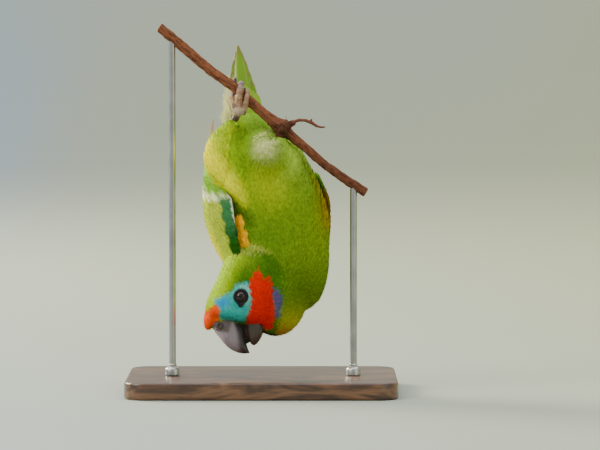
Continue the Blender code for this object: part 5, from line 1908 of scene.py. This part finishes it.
# %% Walnut base
BASE_SIZE = (124.0, 84.0, 8.0)
BASE_CORNER = 10.0
walnut, tree, shader = new_material("walnut", 0.38)
along_grain = stretched(tree, object_place(tree), (0.16, 1.0, 1.0))
grain = noise_at(tree, along_grain, 90.0, 5.0, Distortion=0.8)
pores = noise_at(tree, along_grain, 1500.0, 2.0)
lines = math_node(tree, "PINGPONG", math_node(tree, "MULTIPLY", grain, 9.0), 1.0)
fleck = weighed(tree, lines, 0.7, pores, 0.4)
WALNUT = [(0.15, linear(54, 34, 22)), (0.5, linear(86, 56, 36)), (0.85, linear(116, 80, 52))]
tree.links.new(ramp(tree, fleck, WALNUT), shader.inputs["Base Color"])
relief(tree, shader, pores, 0.04)
set_shader(shader, Coat_Weight=0.35, Coat_Roughness=0.2)
bpy.ops.object.select_all(action="DESELECT")
bpy.ops.mesh.primitive_plane_add(size=1.0)
plate = bpy.context.object
plate.name = "walnut_base"
plate.scale = (BASE_SIZE[0] * MM, BASE_SIZE[1] * MM, 1)
bpy.ops.object.transform_apply(scale=True)
bpy.ops.object.mode_set(mode="EDIT")
bpy.ops.mesh.select_all(action="SELECT")
bpy.ops.mesh.bevel(offset=BASE_CORNER * MM, segments=12, affect="VERTICES")
bpy.ops.mesh.select_all(action="SELECT")
bpy.ops.mesh.extrude_region_move(TRANSFORM_OT_translate={"value": (0, 0, BASE_SIZE[2] * MM)})
bpy.ops.object.mode_set(mode="OBJECT")
faced_outwards(plate)
shape_with(plate, ("BEVEL", {"width": 1.3 * MM, "segments": 4, "limit_method": "ANGLE",
                             "angle_limit": math.radians(60)}))
plate.data.shade_smooth()
plate.data.set_sharp_from_angle(angle=math.radians(30))
dress(plate, walnut, "wood", "stand_base")
print("base faces:", len(plate.data.polygons))

# %% Steel rods
steel, tree, shader = new_material("brushed_steel", 0.3, 1.0)
where = object_place(tree)
brushed = noise_at(tree, stretched(tree, where, (1.0, 1.0, 0.02)), 9000.0, 3.0)
STEEL = [(0.3, linear(150, 148, 146)), (0.7, linear(186, 184, 180))]
tree.links.new(ramp(tree, noise_at(tree, where, 60.0, 3.0), STEEL), shader.inputs["Base Color"])
tree.links.new(ranged(tree, brushed, 0.22, 0.42), shader.inputs["Roughness"])
relief(tree, shader, brushed, 0.01)
# Radius and height up the collar at a rod's foot, to where the plain rod starts.
ROD_PROFILE = [(3.2, 8.3), (3.4, 8.5), (3.4, 11.0), (3.15, 11.5), (2.5, 12.0), (1.9, 12.3), (1.9, 13.2),
               (1.6, 13.5)]


def turned(name, x, profile):
    """A solid of revolution: a disc drawn up through radii and heights."""
    bpy.ops.object.select_all(action="DESELECT")
    radius, height = profile[0]
    bpy.ops.mesh.primitive_circle_add(vertices=48, radius=radius * MM, fill_type="NGON")
    made = bpy.context.object
    made.name = name
    made.location = (x * MM, BRANCH_Y * MM, height * MM)
    bpy.ops.object.transform_apply(location=True)
    bpy.ops.object.mode_set(mode="EDIT")
    bpy.ops.mesh.select_all(action="SELECT")
    for (r0, z0), (r1, z1) in zip(profile, profile[1:]):
        bpy.ops.mesh.extrude_region_move(TRANSFORM_OT_translate={"value": (0, 0, (z1 - z0) * MM)})
        bpy.ops.transform.resize(value=(r1 / r0, r1 / r0, 1))
    bpy.ops.object.mode_set(mode="OBJECT")
    faced_outwards(made)
    made.data.set_sharp_from_angle(angle=math.radians(35))
    return made


ROD_PLACES = {"left": -41.0, "right": 42.0}
ROD_RADIUS = 1.6
for word, x in ROD_PLACES.items():
    top = float(np.interp(x, BRANCH_LINE[:, 0], BRANCH_LINE[:, 1])) - 1.6
    rod = turned(f"rod_{word}", x, ROD_PROFILE + [(ROD_RADIUS, top)])
    dress(rod, steel, "steel", f"stand_rod_{word}")
    print(rod.name, "reaches", round(top, 1), "mm")
